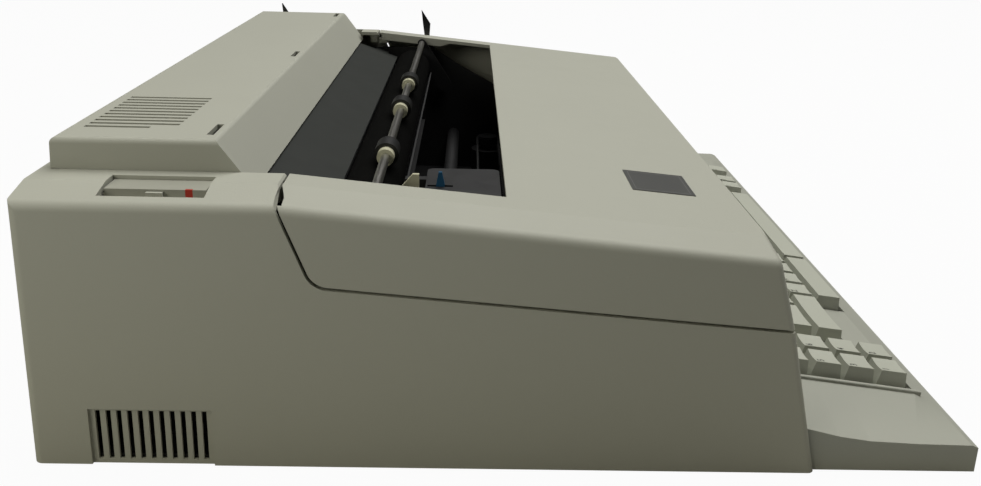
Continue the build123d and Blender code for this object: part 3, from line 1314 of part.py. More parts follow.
def make_carriage_frame():
    left = CARRIAGE_LEFT_X
    right = CARRIAGE_RIGHT_X
    thick = CARRIAGE_PLATE
    frame = block(left, right, CARRIAGE_FRONT_Y, CARRIAGE_REAR_Y, CARRIAGE_FLOOR_Z, CARRIAGE_FLOOR_Z + thick)
    low = RAIL_Z - RAIL_R - 4
    cheek = side_sketch([
        (CARRIAGE_FRONT_Y, low), (CARRIAGE_REAR_Y, low), (CARRIAGE_REAR_Y, CARTRIDGE_LOW_Z),
        (CARTRIDGE_FRONT_Y + 4, CARTRIDGE_LOW_Z), (CARRIAGE_FRONT_Y, CARRIAGE_FLOOR_Z + 10),
    ])
    gap = PULLEY_R + CARRIAGE_BELT_GAP
    notch = block(
        left - 1, right + 1, PULLEY_Y - gap, PULLEY_Y + gap, low - 1, BELT_LOW_Z + BELT_WIDTH + 5,
    )
    for x0 in (left, right - thick):
        frame += across(cheek, x0, x0 + thick) - notch
    for y in (RAIL_REAR_Y, RAIL_FRONT_Y):
        for start in (left, right - CARRIAGE_BUSH_LENGTH):
            frame += rod_x(y, RAIL_Z, RAIL_R + CARRIAGE_BUSH_WALL, start, start + CARRIAGE_BUSH_LENGTH)
        frame -= rod_x(y, RAIL_Z, RAIL_R + PIN_RUNNING, left - 1, right + 1)
    bed = WHEEL_CENTRE_Z - WHEEL_MOTOR_R
    motor_front = WHEEL_MOTOR_REAR_Y - WHEEL_MOTOR_LENGTH
    half = CARRIAGE_BED_WIDTH / 2
    cradle = block(
        CARRIAGE_X - half, CARRIAGE_X + half, motor_front + 4, WHEEL_MOTOR_REAR_Y - 4,
        CARRIAGE_FLOOR_Z + 1, bed + RIM,
    )
    seat_r = WHEEL_MOTOR_R + PIN_RUNNING
    frame += cradle - rod_y(CARRIAGE_X, WHEEL_CENTRE_Z, seat_r, motor_front - 1, WHEEL_MOTOR_REAR_Y + 1)
    grip_y = PULLEY_Y + PULLEY_R + BELT_THICK + CLAMP_GAP
    half = CARRIAGE_GRIP_WIDTH / 2
    frame += block(
        CARRIAGE_X - half, CARRIAGE_X + half, grip_y, grip_y + CARRIAGE_GRIP_THICK, BELT_LOW_Z,
        CARRIAGE_FLOOR_Z + 1,
    )
    shelf = CARRIAGE_PLATE
    solenoid_low = HAMMER_Z - SOLENOID_HEIGHT / 2
    front = SOLENOID_REAR_Y - SOLENOID_LENGTH
    frame += block(left, right, front, SOLENOID_REAR_Y, solenoid_low - shelf, solenoid_low)
    return frame


def make_print_wheel():
    """A daisy wheel: thin petals round a hub, each carrying one character."""
    disc = Circle(WHEEL_R) - Circle(WHEEL_SHAFT_R)
    step = 360 / WHEEL_PETALS
    slit_length = WHEEL_R - WHEEL_HUB_R + 1
    for index in range(WHEEL_PETALS):
        slit = Pos(WHEEL_HUB_R + slit_length / 2, 0) * Rectangle(slit_length, WHEEL_SLIT)
        disc -= Rot(0, 0, index * step + step / 2) * slit
    wheel = extrude(disc, WHEEL_THICK)
    plane = Plane(origin=(CARRIAGE_X, WHEEL_FRONT_Y, WHEEL_CENTRE_Z), x_dir=(0, 0, 1), z_dir=(0, 1, 0))
    hub = rod_y(CARRIAGE_X, WHEEL_CENTRE_Z, WHEEL_HUB_R * 0.6, WHEEL_FRONT_Y - 3, WHEEL_FRONT_Y + 0.5)
    hub -= rod_y(CARRIAGE_X, WHEEL_CENTRE_Z, WHEEL_SHAFT_R, WHEEL_FRONT_Y - 5, WHEEL_FRONT_Y + 5)
    return plane * wheel + hub


def make_wheel_motor():
    front = WHEEL_MOTOR_REAR_Y - WHEEL_MOTOR_LENGTH
    motor = rod_y(CARRIAGE_X, WHEEL_CENTRE_Z, WHEEL_MOTOR_R, front, WHEEL_MOTOR_REAR_Y)
    bore = rod_y(
        CARRIAGE_X, WHEEL_CENTRE_Z, WHEEL_SHAFT_R + PIN_RUNNING, WHEEL_MOTOR_REAR_Y - WHEEL_SOCKET,
        WHEEL_MOTOR_REAR_Y + 1,
    )
    return motor - bore


def make_wheel_shaft():
    return rod_y(
        CARRIAGE_X, WHEEL_CENTRE_Z, WHEEL_SHAFT_R, WHEEL_MOTOR_REAR_Y - WHEEL_SOCKET + WELD,
        WHEEL_FRONT_Y + WHEEL_THICK,
    )


def make_hammer_parts():
    front = SOLENOID_REAR_Y - SOLENOID_LENGTH
    half = SOLENOID_WIDTH / 2
    low = HAMMER_Z - SOLENOID_HEIGHT / 2
    body = block(CARRIAGE_X - half, CARRIAGE_X + half, front, SOLENOID_REAR_Y, low, low + SOLENOID_HEIGHT)
    rear_end = HAMMER_TIP_Y - HAMMER_LENGTH
    body -= rod_y(CARRIAGE_X, HAMMER_Z, HAMMER_R + PIN_RUNNING, rear_end - 1, SOLENOID_REAR_Y + 1)
    hammer = rod_y(CARRIAGE_X, HAMMER_Z, HAMMER_R, rear_end, HAMMER_TIP_Y)
    return body, hammer


def make_ribbon_cartridge():
    left = CARRIAGE_LEFT_X + CARTRIDGE_MARGIN
    right = CARRIAGE_RIGHT_X - CARTRIDGE_MARGIN
    body = block(left, right, CARTRIDGE_FRONT_Y, CARTRIDGE_REAR_Y, CARTRIDGE_LOW_Z, CARTRIDGE_TOP_Z)
    body = fillet(body.edges().filter_by(Axis.Z), 4)
    mid_z = (CARTRIDGE_LOW_Z + CARTRIDGE_TOP_Z) / 2
    for x0 in (left, right - CARTRIDGE_ARM_WIDTH):
        body += block(
            x0, x0 + CARTRIDGE_ARM_WIDTH, CARTRIDGE_REAR_Y - 5, CARTRIDGE_ARM_Y, CARTRIDGE_LOW_Z, mid_z,
        )
    post_y = RIBBON_LEVER_Y
    body -= block(
        RIBBON_LEVER_X - WELD, RIBBON_LEVER_X + RIBBON_LEVER_THICK + WELD, post_y - 7, post_y + 7,
        CARTRIDGE_LOW_Z + 3, CARTRIDGE_TOP_Z + 1,
    )
    pin_z = CARTRIDGE_TOP_Z - RIBBON_PIN_DROP
    bore_r = RIBBON_PIN_R + PIN_RUNNING
    body -= rod_x(post_y, pin_z, bore_r, RIBBON_LEVER_X - 3, RIBBON_LEVER_X + RIBBON_LEVER_THICK + 3)
    return body


def make_ribbon_lever():
    """The blue lever that lifts the ribbon off its spool."""
    pin_z = CARTRIDGE_TOP_Z - RIBBON_PIN_DROP
    y = RIBBON_LEVER_Y
    sketch = side_sketch([
        (y - 2.2, pin_z - 1.5), (y - 2.6, CARTRIDGE_TOP_Z + 1), (y - 0.9, RIBBON_LEVER_TIP_Z),
        (y + 0.9, RIBBON_LEVER_TIP_Z), (y + 2.2, CARTRIDGE_TOP_Z + 1), (y + 2.0, pin_z - 1.5),
    ])
    far = RIBBON_LEVER_X + RIBBON_LEVER_THICK
    lever = across(sketch, RIBBON_LEVER_X, far)
    return lever + rod_x(y, pin_z, RIBBON_PIN_R, RIBBON_LEVER_X - 2.5, far + 2.5)


def make_card_holder():
    """Clear guide plate in front of the platen, with a pointed tab at each side."""
    left = CARRIAGE_LEFT_X + 2
    right = CARRIAGE_RIGHT_X - 2
    y0 = GUIDE_PLATE_Y
    y1 = y0 + GUIDE_PLATE_THICK
    low = HAMMER_Z - GUIDE_PLATE_RISE
    high = HAMMER_Z + GUIDE_PLATE_RISE
    holder = block(left, CARRIAGE_X - HOLDER_GAP, y0, y1, low, high)
    holder += block(CARRIAGE_X + HOLDER_GAP, right, y0, y1, low, high)
    holder += block(left, right, y0, y1, low - 4, low + 1)
    for x in (left, right - 2):
        holder += block(x, x + 2, CARRIAGE_REAR_Y - 4, y1, low + 6, high)
    tip = y0 - TAB_REACH
    shoulder = CARTRIDGE_TOP_Z - 2
    tab = side_sketch([
        (tip, shoulder), (tip, TAB_TIP_Z), (tip + TAB_TIP_WIDTH, TAB_TIP_Z), (y1, shoulder),
        (y1, HAMMER_Z + 4), (y0, HAMMER_Z + 4),
    ])
    return holder + across(tab, TAB_X - TAB_THICK / 2, TAB_X + TAB_THICK / 2)


# Carriage drive

def make_pulley(x):
    low = BELT_LOW_Z - RIM
    high = BELT_LOW_Z + BELT_WIDTH + RIM
    pulley = rod_z(x, PULLEY_Y, PULLEY_R, BELT_LOW_Z, BELT_LOW_Z + BELT_WIDTH)
    flange_r = PULLEY_R - WELD
    pulley += rod_z(x, PULLEY_Y, flange_r, low, BELT_LOW_Z)
    pulley += rod_z(x, PULLEY_Y, flange_r, BELT_LOW_Z + BELT_WIDTH, high)
    return pulley


def make_belt():
    outer = SlotCenterToCenter(2 * PULLEY_X, 2 * (PULLEY_R + BELT_THICK))
    inner = SlotCenterToCenter(2 * PULLEY_X, 2 * PULLEY_R + 0.1)
    return Pos(0, PULLEY_Y, BELT_LOW_Z) * extrude(outer - inner, BELT_WIDTH)


def make_drive():
    """Motor and idler, one under each end of the belt."""
    low = BELT_LOW_Z - RIM
    motor_top = PAN_TOP_Z + DRIVE_MOTOR_LENGTH
    motor = rod_z(PULLEY_X, PULLEY_Y, DRIVE_MOTOR_R, PAN_TOP_Z, motor_top)
    motor -= rod_z(PULLEY_X, PULLEY_Y, DRIVE_SHAFT_R + PIN_RUNNING, motor_top - DRIVE_SOCKET, motor_top + 1)
    drive = make_pulley(PULLEY_X) + rod_z(PULLEY_X, PULLEY_Y, DRIVE_SHAFT_R, motor_top - DRIVE_SOCKET + WELD, low)
    post_top = low - 0.3
    idler = make_pulley(-PULLEY_X) - rod_z(
        -PULLEY_X, PULLEY_Y, DRIVE_SHAFT_R + PIN_RUNNING, low - 1, BELT_LOW_Z + BELT_WIDTH + 3,
    )
    post = rod_z(-PULLEY_X, PULLEY_Y, IDLER_POST_R, PAN_TOP_Z, post_top)
    post += rod_z(-PULLEY_X, PULLEY_Y, DRIVE_SHAFT_R, post_top - 1, BELT_LOW_Z + BELT_WIDTH + 2)
    return motor, drive, idler, post


# Electronics

def make_power_supply():
    low = PAN_TOP_Z
    high = low + SUPPLY_HEIGHT
    left = SUPPLY_LEFT_X
    supply = block(left, SUPPLY_RIGHT_X, SUPPLY_FRONT_Y, SUPPLY_REAR_Y, low, low + FRAME_FOOT_THICK)
    x = left + CORE_INSET
    supply += block(
        x, x + CORE_WIDTH, SUPPLY_FRONT_Y + CORE_INSET, SUPPLY_REAR_Y - CORE_INSET, low + 1, high,
    )
    x = left + COIL_INSET
    supply += block(
        x, x + COIL_WIDTH, SUPPLY_FRONT_Y + COIL_EDGE, SUPPLY_REAR_Y - COIL_EDGE, low + 12, high - 14,
    )
    for index in range(FIN_COUNT):
        x = left + FIN_FIRST + index * FIN_PITCH
        supply += block(
            x, x + FIN_THICK, SUPPLY_FRONT_Y + 10, SUPPLY_REAR_Y - 10, low + 1, low + FIN_HEIGHT,
        )
    return supply


def make_logic_board():
    low = PAN_TOP_Z + STANDOFF_HEIGHT
    board = block(BOARD_LEFT_X, BOARD_RIGHT_X, BOARD_FRONT_Y, BOARD_REAR_Y, low, low + BOARD_THICK)
    for index in range(CHIP_COUNT):
        x = BOARD_LEFT_X + CHIP_FIRST + index * CHIP_PITCH
        y = BOARD_FRONT_Y + 20
        board += block(x, x + CHIP_LENGTH, y, y + CHIP_WIDTH, low + 1, low + CHIP_HEIGHT)
        x += 6
        y += 32
        board += block(x, x + SMALL_CHIP_LENGTH, y, y + SMALL_CHIP_WIDTH, low + 1, low + SMALL_CHIP_HEIGHT)
    for x in (BOARD_LEFT_X + CORE_INSET, BOARD_RIGHT_X - CORE_INSET):
        for y in (BOARD_FRONT_Y + CORE_INSET, BOARD_REAR_Y - CORE_INSET):
            board += rod_z(x, y, STANDOFF_R, PAN_TOP_Z, low + WELD)
    return board


def make_power_inlet():
    y = rear_y(INLET_Z)
    half_w = INLET_WIDTH / 2 - SEAT_GAP
    half_h = INLET_HEIGHT / 2 - SEAT_GAP
    body = block(INLET_X - half_w, INLET_X + half_w, y - INLET_DEPTH, y, INLET_Z - half_h, INLET_Z + half_h)
    margin = INLET_SOCKET_MARGIN
    flange = block(
        INLET_X - half_w - INLET_FLANGE, INLET_X + half_w + INLET_FLANGE, y - CASE_WALL - 3,
        y - CASE_WALL - 1, INLET_Z - half_h - INLET_FLANGE, INLET_Z + half_h + INLET_FLANGE,
    )
    socket = block(
        INLET_X - half_w + margin, INLET_X + half_w - margin, y - INLET_DEPTH + 3, y + 1,
        INLET_Z - half_h + margin, INLET_Z + half_h - margin,
    )
    inlet = body + flange - socket
    spread = CONTACT_SPREAD
    for x, z in ((INLET_X - spread, INLET_Z - 2), (INLET_X + spread, INLET_Z - 2), (INLET_X, INLET_Z + 3)):
        inlet += block(x - 1, x + 1, y - INLET_DEPTH + 2, y - 3, z - 2, z + 2)
    return inlet


# Assemble and write

def flatten(shape):
    """The separate solids of a part or of a list of parts."""
    items = shape if isinstance(shape, (list, tuple)) else [shape]
    solids = []
    for item in items:
        solids.extend(item.solids())
    return solids


def write(name, shape):
    solids = flatten(shape)
    body = solids[0] if len(solids) == 1 else Compound(children=solids)
    export_step(body, f"parts/{name}.step")
    print(f"{name}: {len(solids)} solids")


def main():
    keyboard_base = make_keyboard_base()
    platen_roller, platen_shaft, platen_gear = make_platen()
    platen_motor, platen_pinion = make_platen_drive()
    feed_rollers, feed_shaft = make_feed_rollers()
    bail_shaft, bail_arms = make_bail()
    solenoid, hammer = make_hammer_parts()
    drive_motor, drive_pulley, idler_pulley, idler_post = make_drive()
    nodes = {
        "rear_housing": make_rear_housing(),
        "front_cover": make_front_cover(),
        "cover_plate": cover_plate_body(PLATE_STAND),
        "hinge_pins": make_hinge_pins(),
        "rear_top_cover": make_rear_top_cover(),
        "power_rocker": make_power_rocker(),
        "base_pan": make_base_pan(),
        "case_screws": make_case_screws(),
        "rubber_feet": make_feet(),
        "keyboard_top": make_keyboard_top(),
        "keyboard_base": keyboard_base,
        "key_switch_plate": make_key_switch_plate(),
        "keyboard_circuit_board": make_keyboard_board(),
        "side_frames": make_side_frames(),
        "platen_roller": platen_roller,
        "platen_shaft": platen_shaft,
        "platen_gear": platen_gear,
        "platen_motor": platen_motor,
        "platen_pinion": platen_pinion,
        "feed_rollers": feed_rollers + [feed_shaft],
        "feed_roller_cradle": make_feed_cradle(),
        "paper_guide": make_paper_guide(),
        "paper_table": make_paper_table(),
        "bail_shaft": bail_shaft,
        "bail_arms": bail_arms,
        "bail_lever": make_bail_lever(),
        "paper_release_lever": make_release_lever(),
        "carriage_rails": make_rails(),
        "carriage_frame": make_carriage_frame(),
        "print_wheel": make_print_wheel(),
        "print_wheel_shaft": make_wheel_shaft(),
        "print_wheel_motor": make_wheel_motor(),
        "hammer_solenoid": solenoid,
        "hammer": hammer,
        "ribbon_cartridge": make_ribbon_cartridge(),
        "ribbon_lever": make_ribbon_lever(),
        "card_holder": make_card_holder(),
        "drive_motor": drive_motor,
        "drive_pulley": drive_pulley,
        "idler_pulley": idler_pulley,
        "idler_post": idler_post,
        "drive_belt": make_belt(),
        "power_supply": make_power_supply(),
        "logic_board": make_logic_board(),
        "power_inlet": make_power_inlet(),
    }
    for name, x in zip(("left", "centre", "right"), BAIL_ROLLER_XS):
        nodes[f"bail_roller_{name}"] = make_bail_roller(x)
    for name, keys in key_table().items():
        nodes[name] = [key_cap(*key) for key in keys]
    for name, shape in nodes.items():
        write(name, shape)
    print(f"{len(nodes)} nodes")


main()
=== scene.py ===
# %% [markdown]
# # The looks of an electronic typewriter
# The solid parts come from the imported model. This script gives each of them a material,
# adds the printed key legends, the belt's teeth and the characters of the print wheel, and
# sets up the camera and the light.

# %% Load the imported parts
import math
import bpy
import numpy as np
from mathutils import Matrix, Vector
from mathutils.bvhtree import BVHTree


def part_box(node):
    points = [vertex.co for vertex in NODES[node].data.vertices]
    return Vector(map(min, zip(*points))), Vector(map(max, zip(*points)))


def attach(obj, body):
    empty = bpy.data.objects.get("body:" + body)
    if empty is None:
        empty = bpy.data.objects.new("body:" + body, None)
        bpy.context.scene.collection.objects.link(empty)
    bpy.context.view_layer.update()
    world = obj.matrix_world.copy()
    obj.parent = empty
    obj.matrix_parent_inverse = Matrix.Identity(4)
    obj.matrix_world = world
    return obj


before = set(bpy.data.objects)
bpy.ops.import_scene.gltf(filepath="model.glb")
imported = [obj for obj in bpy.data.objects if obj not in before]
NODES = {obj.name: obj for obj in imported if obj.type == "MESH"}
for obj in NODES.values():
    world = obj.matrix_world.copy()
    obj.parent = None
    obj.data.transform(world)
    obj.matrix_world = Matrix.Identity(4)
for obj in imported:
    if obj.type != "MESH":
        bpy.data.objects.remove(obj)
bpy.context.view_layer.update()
MM = 0.001

# %% [markdown]
# ## Shader arithmetic
# A small class wraps a node socket, so that patterns can be written as sums and products.

# %% A socket with operators
class Value:
    """A number or colour coming out of a shader node."""

    def __init__(self, tree, socket):
        self.tree = tree
        self.socket = socket

    def _math(self, operation, other, clamp=False):
        node = self.tree.nodes.new("ShaderNodeMath")
        node.operation = operation
        node.use_clamp = clamp
        feed(self.tree, node.inputs[0], self)
        feed(self.tree, node.inputs[1], other)
        return Value(self.tree, node.outputs[0])

    def __add__(self, other):
        return self._math("ADD", other)

    def __sub__(self, other):
        return self._math("SUBTRACT", other)

    def __mul__(self, other):
        return self._math("MULTIPLY", other)

    def __truediv__(self, other):
        return self._math("DIVIDE", other)

    def above(self, edge):
        return self._math("GREATER_THAN", edge)

    def below(self, edge):
        return self._math("LESS_THAN", edge)

    def clamped(self):
        return self._math("MULTIPLY", 1.0, clamp=True)


def feed(tree, target, value):
    """Link a Value to a socket, or write a plain number or colour into it."""
    if isinstance(value, Value):
        tree.links.new(value.socket, target)
    elif isinstance(value, tuple):
        target.default_value = (*value, 1.0)
    else:
        target.default_value = value


# %% One material and its textures
class Shade:
    """One material built from object coordinates."""

    def __init__(self, name):
        self.material = bpy.data.materials.new(name)
        self.material.use_nodes = True
        self.tree = self.material.node_tree
        self.surface = self.tree.nodes["Principled BSDF"]
        self.place = self.tree.nodes.new("ShaderNodeTexCoord").outputs["Object"]

    def value(self, socket):
        return Value(self.tree, socket)

    def axis(self, name):
        split = self.tree.nodes.new("ShaderNodeSeparateXYZ")
        self.tree.links.new(self.place, split.inputs[0])
        return self.value(split.outputs[name])

    def stretched(self, x, y, z):
        node = self.tree.nodes.new("ShaderNodeVectorMath")
        node.operation = "MULTIPLY"
        self.tree.links.new(self.place, node.inputs[0])
        node.inputs[1].default_value = (x, y, z)
        return node.outputs[0]

    def noise(self, scale, detail=2.0, place=None):
        node = self.tree.nodes.new("ShaderNodeTexNoise")
        node.inputs["Scale"].default_value = scale
        node.inputs["Detail"].default_value = detail
        self.tree.links.new(place or self.place, node.inputs["Vector"])
        return self.value(node.outputs["Fac"])

    def cells(self, scale):
        node = self.tree.nodes.new("ShaderNodeTexVoronoi")
        node.inputs["Scale"].default_value = scale
        self.tree.links.new(self.place, node.inputs["Vector"])
        return self.value(node.outputs["Distance"])

    def blend(self, amount, first, second):
        node = self.tree.nodes.new("ShaderNodeMix")
        node.data_type = "RGBA"
        feed(self.tree, node.inputs[0], amount)
        for target, color in zip([s for s in node.inputs if s.type == "RGBA"], (first, second)):
            feed(self.tree, target, color)
        return self.value([s for s in node.outputs if s.type == "RGBA"][0])

    def paint(self, color, rough, metal=0.0, coat=0.0, shine=0.5):
        self.surface.inputs["Specular IOR Level"].default_value = shine
        for label, value in (("Base Color", color), ("Roughness", rough), ("Metallic", metal),
                             ("Coat Weight", coat)):
            feed(self.tree, self.surface.inputs[label], value)

    def relief(self, height, strength, depth_mm):
        bump = self.tree.nodes.new("ShaderNodeBump")
        bump.inputs["Strength"].default_value = strength
        bump.inputs["Distance"].default_value = depth_mm * MM
        self.tree.links.new(height.socket, bump.inputs["Height"])
        self.tree.links.new(bump.outputs[0], self.surface.inputs["Normal"])


# %% [markdown]
# ## Materials
# The case is a warm grey moulding with a fine pebbled grain. It is slightly mottled,
# and painted shade makes it a little darker and yellower low down, where less light falls.
# Texture scales are in features per metre.

# %% Plastics
# Painted shade: this tint darkens and yellows the lower parts, fading out at the height set below.
LOW_SHADE_TINT = (0.96, 0.94, 0.88)
SHADE_FADES_BY = 130 * MM
CLOUDS = 9.0
SPECKS = 900.0
CLOUD_SHARE, SPECK_SHARE = 0.7, 0.3
SHEEN_PATCHES = 40.0
SHEEN_SWING = 0.12
PEBBLES = 1500.0
PITS = 1100.0
PIT_SHARE = 0.6
PEBBLE_STRENGTH = 0.35
PEBBLE_DEPTH_MM = 0.10


def moulded(name, color, grain=1.0, rough=0.62, soil=0.06, shade_fades_by=SHADE_FADES_BY, shine=0.5):
    shade = Shade(name)
    cloud = shade.noise(CLOUDS, 3.0)
    speck = shade.noise(SPECKS, 1.0)
    dark = tuple(c * (1 - soil) for c in color)
    # Painted shade: the tinted colour is blended in towards the bottom, up to the given height.
    low = tuple(c * s for c, s in zip(color, LOW_SHADE_TINT))
    amount = (cloud * CLOUD_SHARE + speck * SPECK_SHARE).clamped()
    height = (shade.axis("Z") / shade_fades_by).clamped()
    look = shade.blend(height, low, shade.blend(amount, dark, color))
    sheen = shade.noise(SHEEN_PATCHES) * SHEEN_SWING + (rough - SHEEN_SWING / 2)
    shade.paint(look, sheen, shine=shine)
    pebble = shade.noise(PEBBLES, 2.0) + shade.cells(PITS) * PIT_SHARE
    shade.relief(pebble, PEBBLE_STRENGTH * grain, PEBBLE_DEPTH_MM)
    return shade.material


def gloss(name, color, rough=0.3, coat=0.0):
    shade = Shade(name)
    wear = shade.noise(60.0, 3.0)
    dark = tuple(c * 0.85 for c in color)
    shade.paint(shade.blend(wear, dark, color), wear * 0.15 + (rough - 0.05), 0.0, coat)
    shade.relief(shade.noise(500.0), 0.15, 0.05)
    return shade.material


CASE = moulded("case_plastic", (0.43, 0.432, 0.365))
COVER = moulded("cover_plastic", (0.43, 0.432, 0.365), grain=0.8)
# The keyboard gets painted shade on its low sides up to 18 mm, and the key caps up to 20 mm.
KEYBOARD = moulded("keyboard_plastic", (0.39, 0.395, 0.335), grain=0.7, shade_fades_by=18 * MM)
KEYCAP = moulded("keycap_plastic", (0.50, 0.51, 0.43), grain=0.45, rough=0.5, shade_fades_by=20 * MM)
BLACK = gloss("black_plastic", (0.012, 0.012, 0.013), 0.42)
LEVER_BLACK = gloss("lever_plastic", (0.008, 0.008, 0.009), 0.3, 0.2)
CREAM = gloss("cream_plastic", (0.60, 0.58, 0.42), 0.4)
BLUE = gloss("blue_plastic", (0.02, 0.10, 0.20), 0.3, 0.2)
DARK_TABLE = moulded("paper_table_plastic", (0.023, 0.0255, 0.0225), grain=0.9, rough=0.7, shine=0.25)
LEGEND = gloss("legend_ink", (0.022, 0.023, 0.020), 0.5)
print("plastics:", [m.name for m in (CASE, COVER, KEYBOARD, KEYCAP, BLACK, LEVER_BLACK, CREAM, BLUE)])


# %% [markdown]
# The metals have long fine scratches along one axis, the rubber is dull with a trace of
# paper dust, and the circuit boards are green with paler tracks.

# %% Metals, rubber and boards
ALONG_SCRATCH = 20.0
ACROSS_SCRATCH = 900.0


def metal(name, color, rough=0.35, metallic=1.0, along="X"):
    shade = Shade(name)
    stretch = [ALONG_SCRATCH if axis == along else ACROSS_SCRATCH for axis in "XYZ"]
    scratch = shade.noise(1.0, 2.0, shade.stretched(*stretch))
    stain = shade.noise(25.0, 3.0)
    dark = tuple(c * 0.75 for c in color)
    shade.paint(shade.blend(stain, dark, color), scratch * 0.2 + (rough - 0.1), metallic)
    shade.relief(scratch, 0.2, 0.03)
    return shade.material


def rubber(name, color, rough=0.7, shine=0.5):
    shade = Shade(name)
    dust = (shade.noise(120.0, 4.0) - 0.55).clamped() * 2.0
    pale = tuple(c * 1.8 for c in color)
    sheen = shade.noise(80.0) * 0.1 + rough
    shade.paint(shade.blend(dust.clamped(), color, pale), sheen, shine=shine)
    shade.relief(shade.noise(1200.0, 2.0), 0.3, 0.05)
    return shade.material


def circuit(name):
    shade = Shade(name)
    tracks = shade.noise(300.0).above(0.52)
    green = (0.015, 0.085, 0.03)
    pale = (0.05, 0.16, 0.06)
    shade.paint(shade.blend(tracks, green, pale), 0.35)
    return shade.material


STEEL = metal("ground_steel", (0.62, 0.61, 0.58), 0.32)
ZINC = metal("plated_sheet", (0.10, 0.10, 0.10), 0.5, 0.6)
INNER = metal("dark_frame_sheet", (0.014, 0.014, 0.015), 0.6, 0.2)
MOTOR = metal("motor_can", (0.25, 0.25, 0.26), 0.4, 0.9, "Z")
ROLLER = rubber("platen_rubber", (0.0035, 0.0035, 0.0032), 0.85, 0.03)
TYRE = rubber("tyre_rubber", (0.010, 0.010, 0.010), 0.55)
FOOT = rubber("foot_rubber", (0.02, 0.02, 0.02), 0.75)
BOARD = circuit("circuit_board")
print("metals and rubber:", [m.name for m in (STEEL, ZINC, INNER, MOTOR, ROLLER, TYRE, FOOT, BOARD)])


# %% [markdown]
# The dark plate on the cover carries nothing but a fine pale border. The mains rocker has
# a red mark at its front end.

# %% The plate and the rocker
BORDER_INSET = 2.2 * MM
BORDER_LINE = 0.35 * MM


def bordered_plate():
    shade = Shade("cover_plate_face")
    (x0, y0, _), (x1, y1, _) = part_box("cover_plate")
    x, y = shade.axis("X"), shade.axis("Y")

    def inset(margin):
        across = x.above(x0 + margin) * x.below(x1 - margin)
        return across * (y.above(y0 + margin) * y.below(y1 - margin))

    border = inset(BORDER_INSET) - inset(BORDER_INSET + BORDER_LINE)
    cloud = shade.noise(60.0, 3.0) * 0.4
    base = shade.blend(cloud, (0.080, 0.081, 0.078), (0.115, 0.116, 0.111))
    shade.paint(shade.blend(border.clamped(), base, (0.20, 0.20, 0.19)), 0.36)
    return shade.material


MARK_REACH = 4.0 * MM
MARK_START = 6.5 * MM
MARK_LENGTH = 3.6 * MM


def marked_rocker():
    shade = Shade("rocker_plastic")
    (near, front, _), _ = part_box("power_rocker")
    y = shade.axis("Y")
    side = shade.axis("X").below(near + MARK_REACH)
    mark = y.above(front + MARK_START) * y.below(front + MARK_START + MARK_LENGTH) * side
    cloud = shade.noise(70.0, 2.0)
    base = shade.blend(cloud, (0.33, 0.33, 0.28), (0.38, 0.38, 0.32))
    shade.paint(shade.blend(mark, base, (0.45, 0.03, 0.015)), 0.4)
    return shade.material


PLATE = bordered_plate()
ROCKER = marked_rocker()

# %% Material of each carried-over part
LOOKS = {
    "rear_housing": CASE, "front_cover": COVER, "rear_top_cover": COVER, "cover_plate": PLATE,
    "hinge_pins": STEEL, "power_rocker": ROCKER, "base_pan": INNER, "case_screws": STEEL,
    "rubber_feet": FOOT, "keyboard_top": KEYBOARD, "keyboard_base": ZINC, "key_switch_plate": INNER,
    "keyboard_circuit_board": BOARD, "side_frames": INNER, "platen_roller": ROLLER,
    "platen_shaft": STEEL, "platen_gear": BLACK, "platen_motor": MOTOR, "platen_pinion": CREAM,
    "feed_rollers": TYRE, "feed_roller_cradle": INNER, "paper_guide": INNER,
    "paper_table": DARK_TABLE, "bail_shaft": STEEL, "bail_arms": INNER, "bail_lever": LEVER_BLACK,
    "paper_release_lever": LEVER_BLACK, "carriage_rails": INNER, "carriage_frame": BLACK,
    "print_wheel": BLACK, "print_wheel_shaft": STEEL, "print_wheel_motor": INNER,
    "hammer_solenoid": INNER, "hammer": STEEL, "ribbon_cartridge": BLACK, "ribbon_lever": BLUE,
    "card_holder": CREAM, "drive_motor": INNER, "drive_pulley": BLACK, "idler_pulley": BLACK,
    "idler_post": INNER, "drive_belt": TYRE, "power_supply": INNER, "logic_board": BOARD,
    "power_inlet": BLACK,
}
KEY_NODES = (
    "code_key", "space_bar", "left_shift_key", "right_shift_key", "lower_row_keys", "home_row_keys",
    "return_key", "upper_row_keys", "number_row_keys", "backspace_key", "left_function_keys",
    "right_function_keys",
)
for name in KEY_NODES:
    LOOKS[name] = KEYCAP


def dress(obj, material):
    obj.data.materials.clear()
    obj.data.materials.append(material)


for name, material in LOOKS.items():
    dress(NODES[name], material)
print(len(LOOKS), "parts dressed in", len(set(LOOKS.values())), "materials")


# %% [markdown]
# ## Bail rollers
# Each bail roller is one part with a black tyre and a cream hub, so its material
# changes with the distance from the roller's axis.

# %% Two-tone rollers
HUB_RADIUS = 5.05


def two_tone(name, node, split_mm):
    (_, y0, z0), (_, y1, z1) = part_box(node)
    shade = Shade(name)
    y, z = shade.axis("Y") - (y0 + y1) / 2, shade.axis("Z") - (z0 + z1) / 2
    tyre = (y * y + z * z).above((split_mm * MM) ** 2)
    cloud = shade.noise(90.0, 2.0)
    cream = shade.blend(cloud, (0.50, 0.49, 0.34), (0.62, 0.60, 0.44))
    shade.paint(shade.blend(tyre, cream, (0.009, 0.009, 0.009)), 0.45)
    return shade.material


for side in ("left", "centre", "right"):
    node = "bail_roller_" + side
    dress(NODES[node], two_tone(node + "_look", node, HUB_RADIUS))


# %% [markdown]
# ## Printed legends
# Plain letters, signs and numbers are laid on the hollow tops of the single keys, at the rear
# left. Each key is found as one loose piece of its part, and each point of a legend is
# dropped onto the key top. The wide keys stay bare.

# %% Find the single keys
DECK_TILT = math.radians(7.4)
TOP_BAND = 0.2 * MM
TO_DECK = Matrix.Rotation(-DECK_TILT, 3, "X")
FROM_DECK = Matrix.Rotation(DECK_TILT, 3, "X")


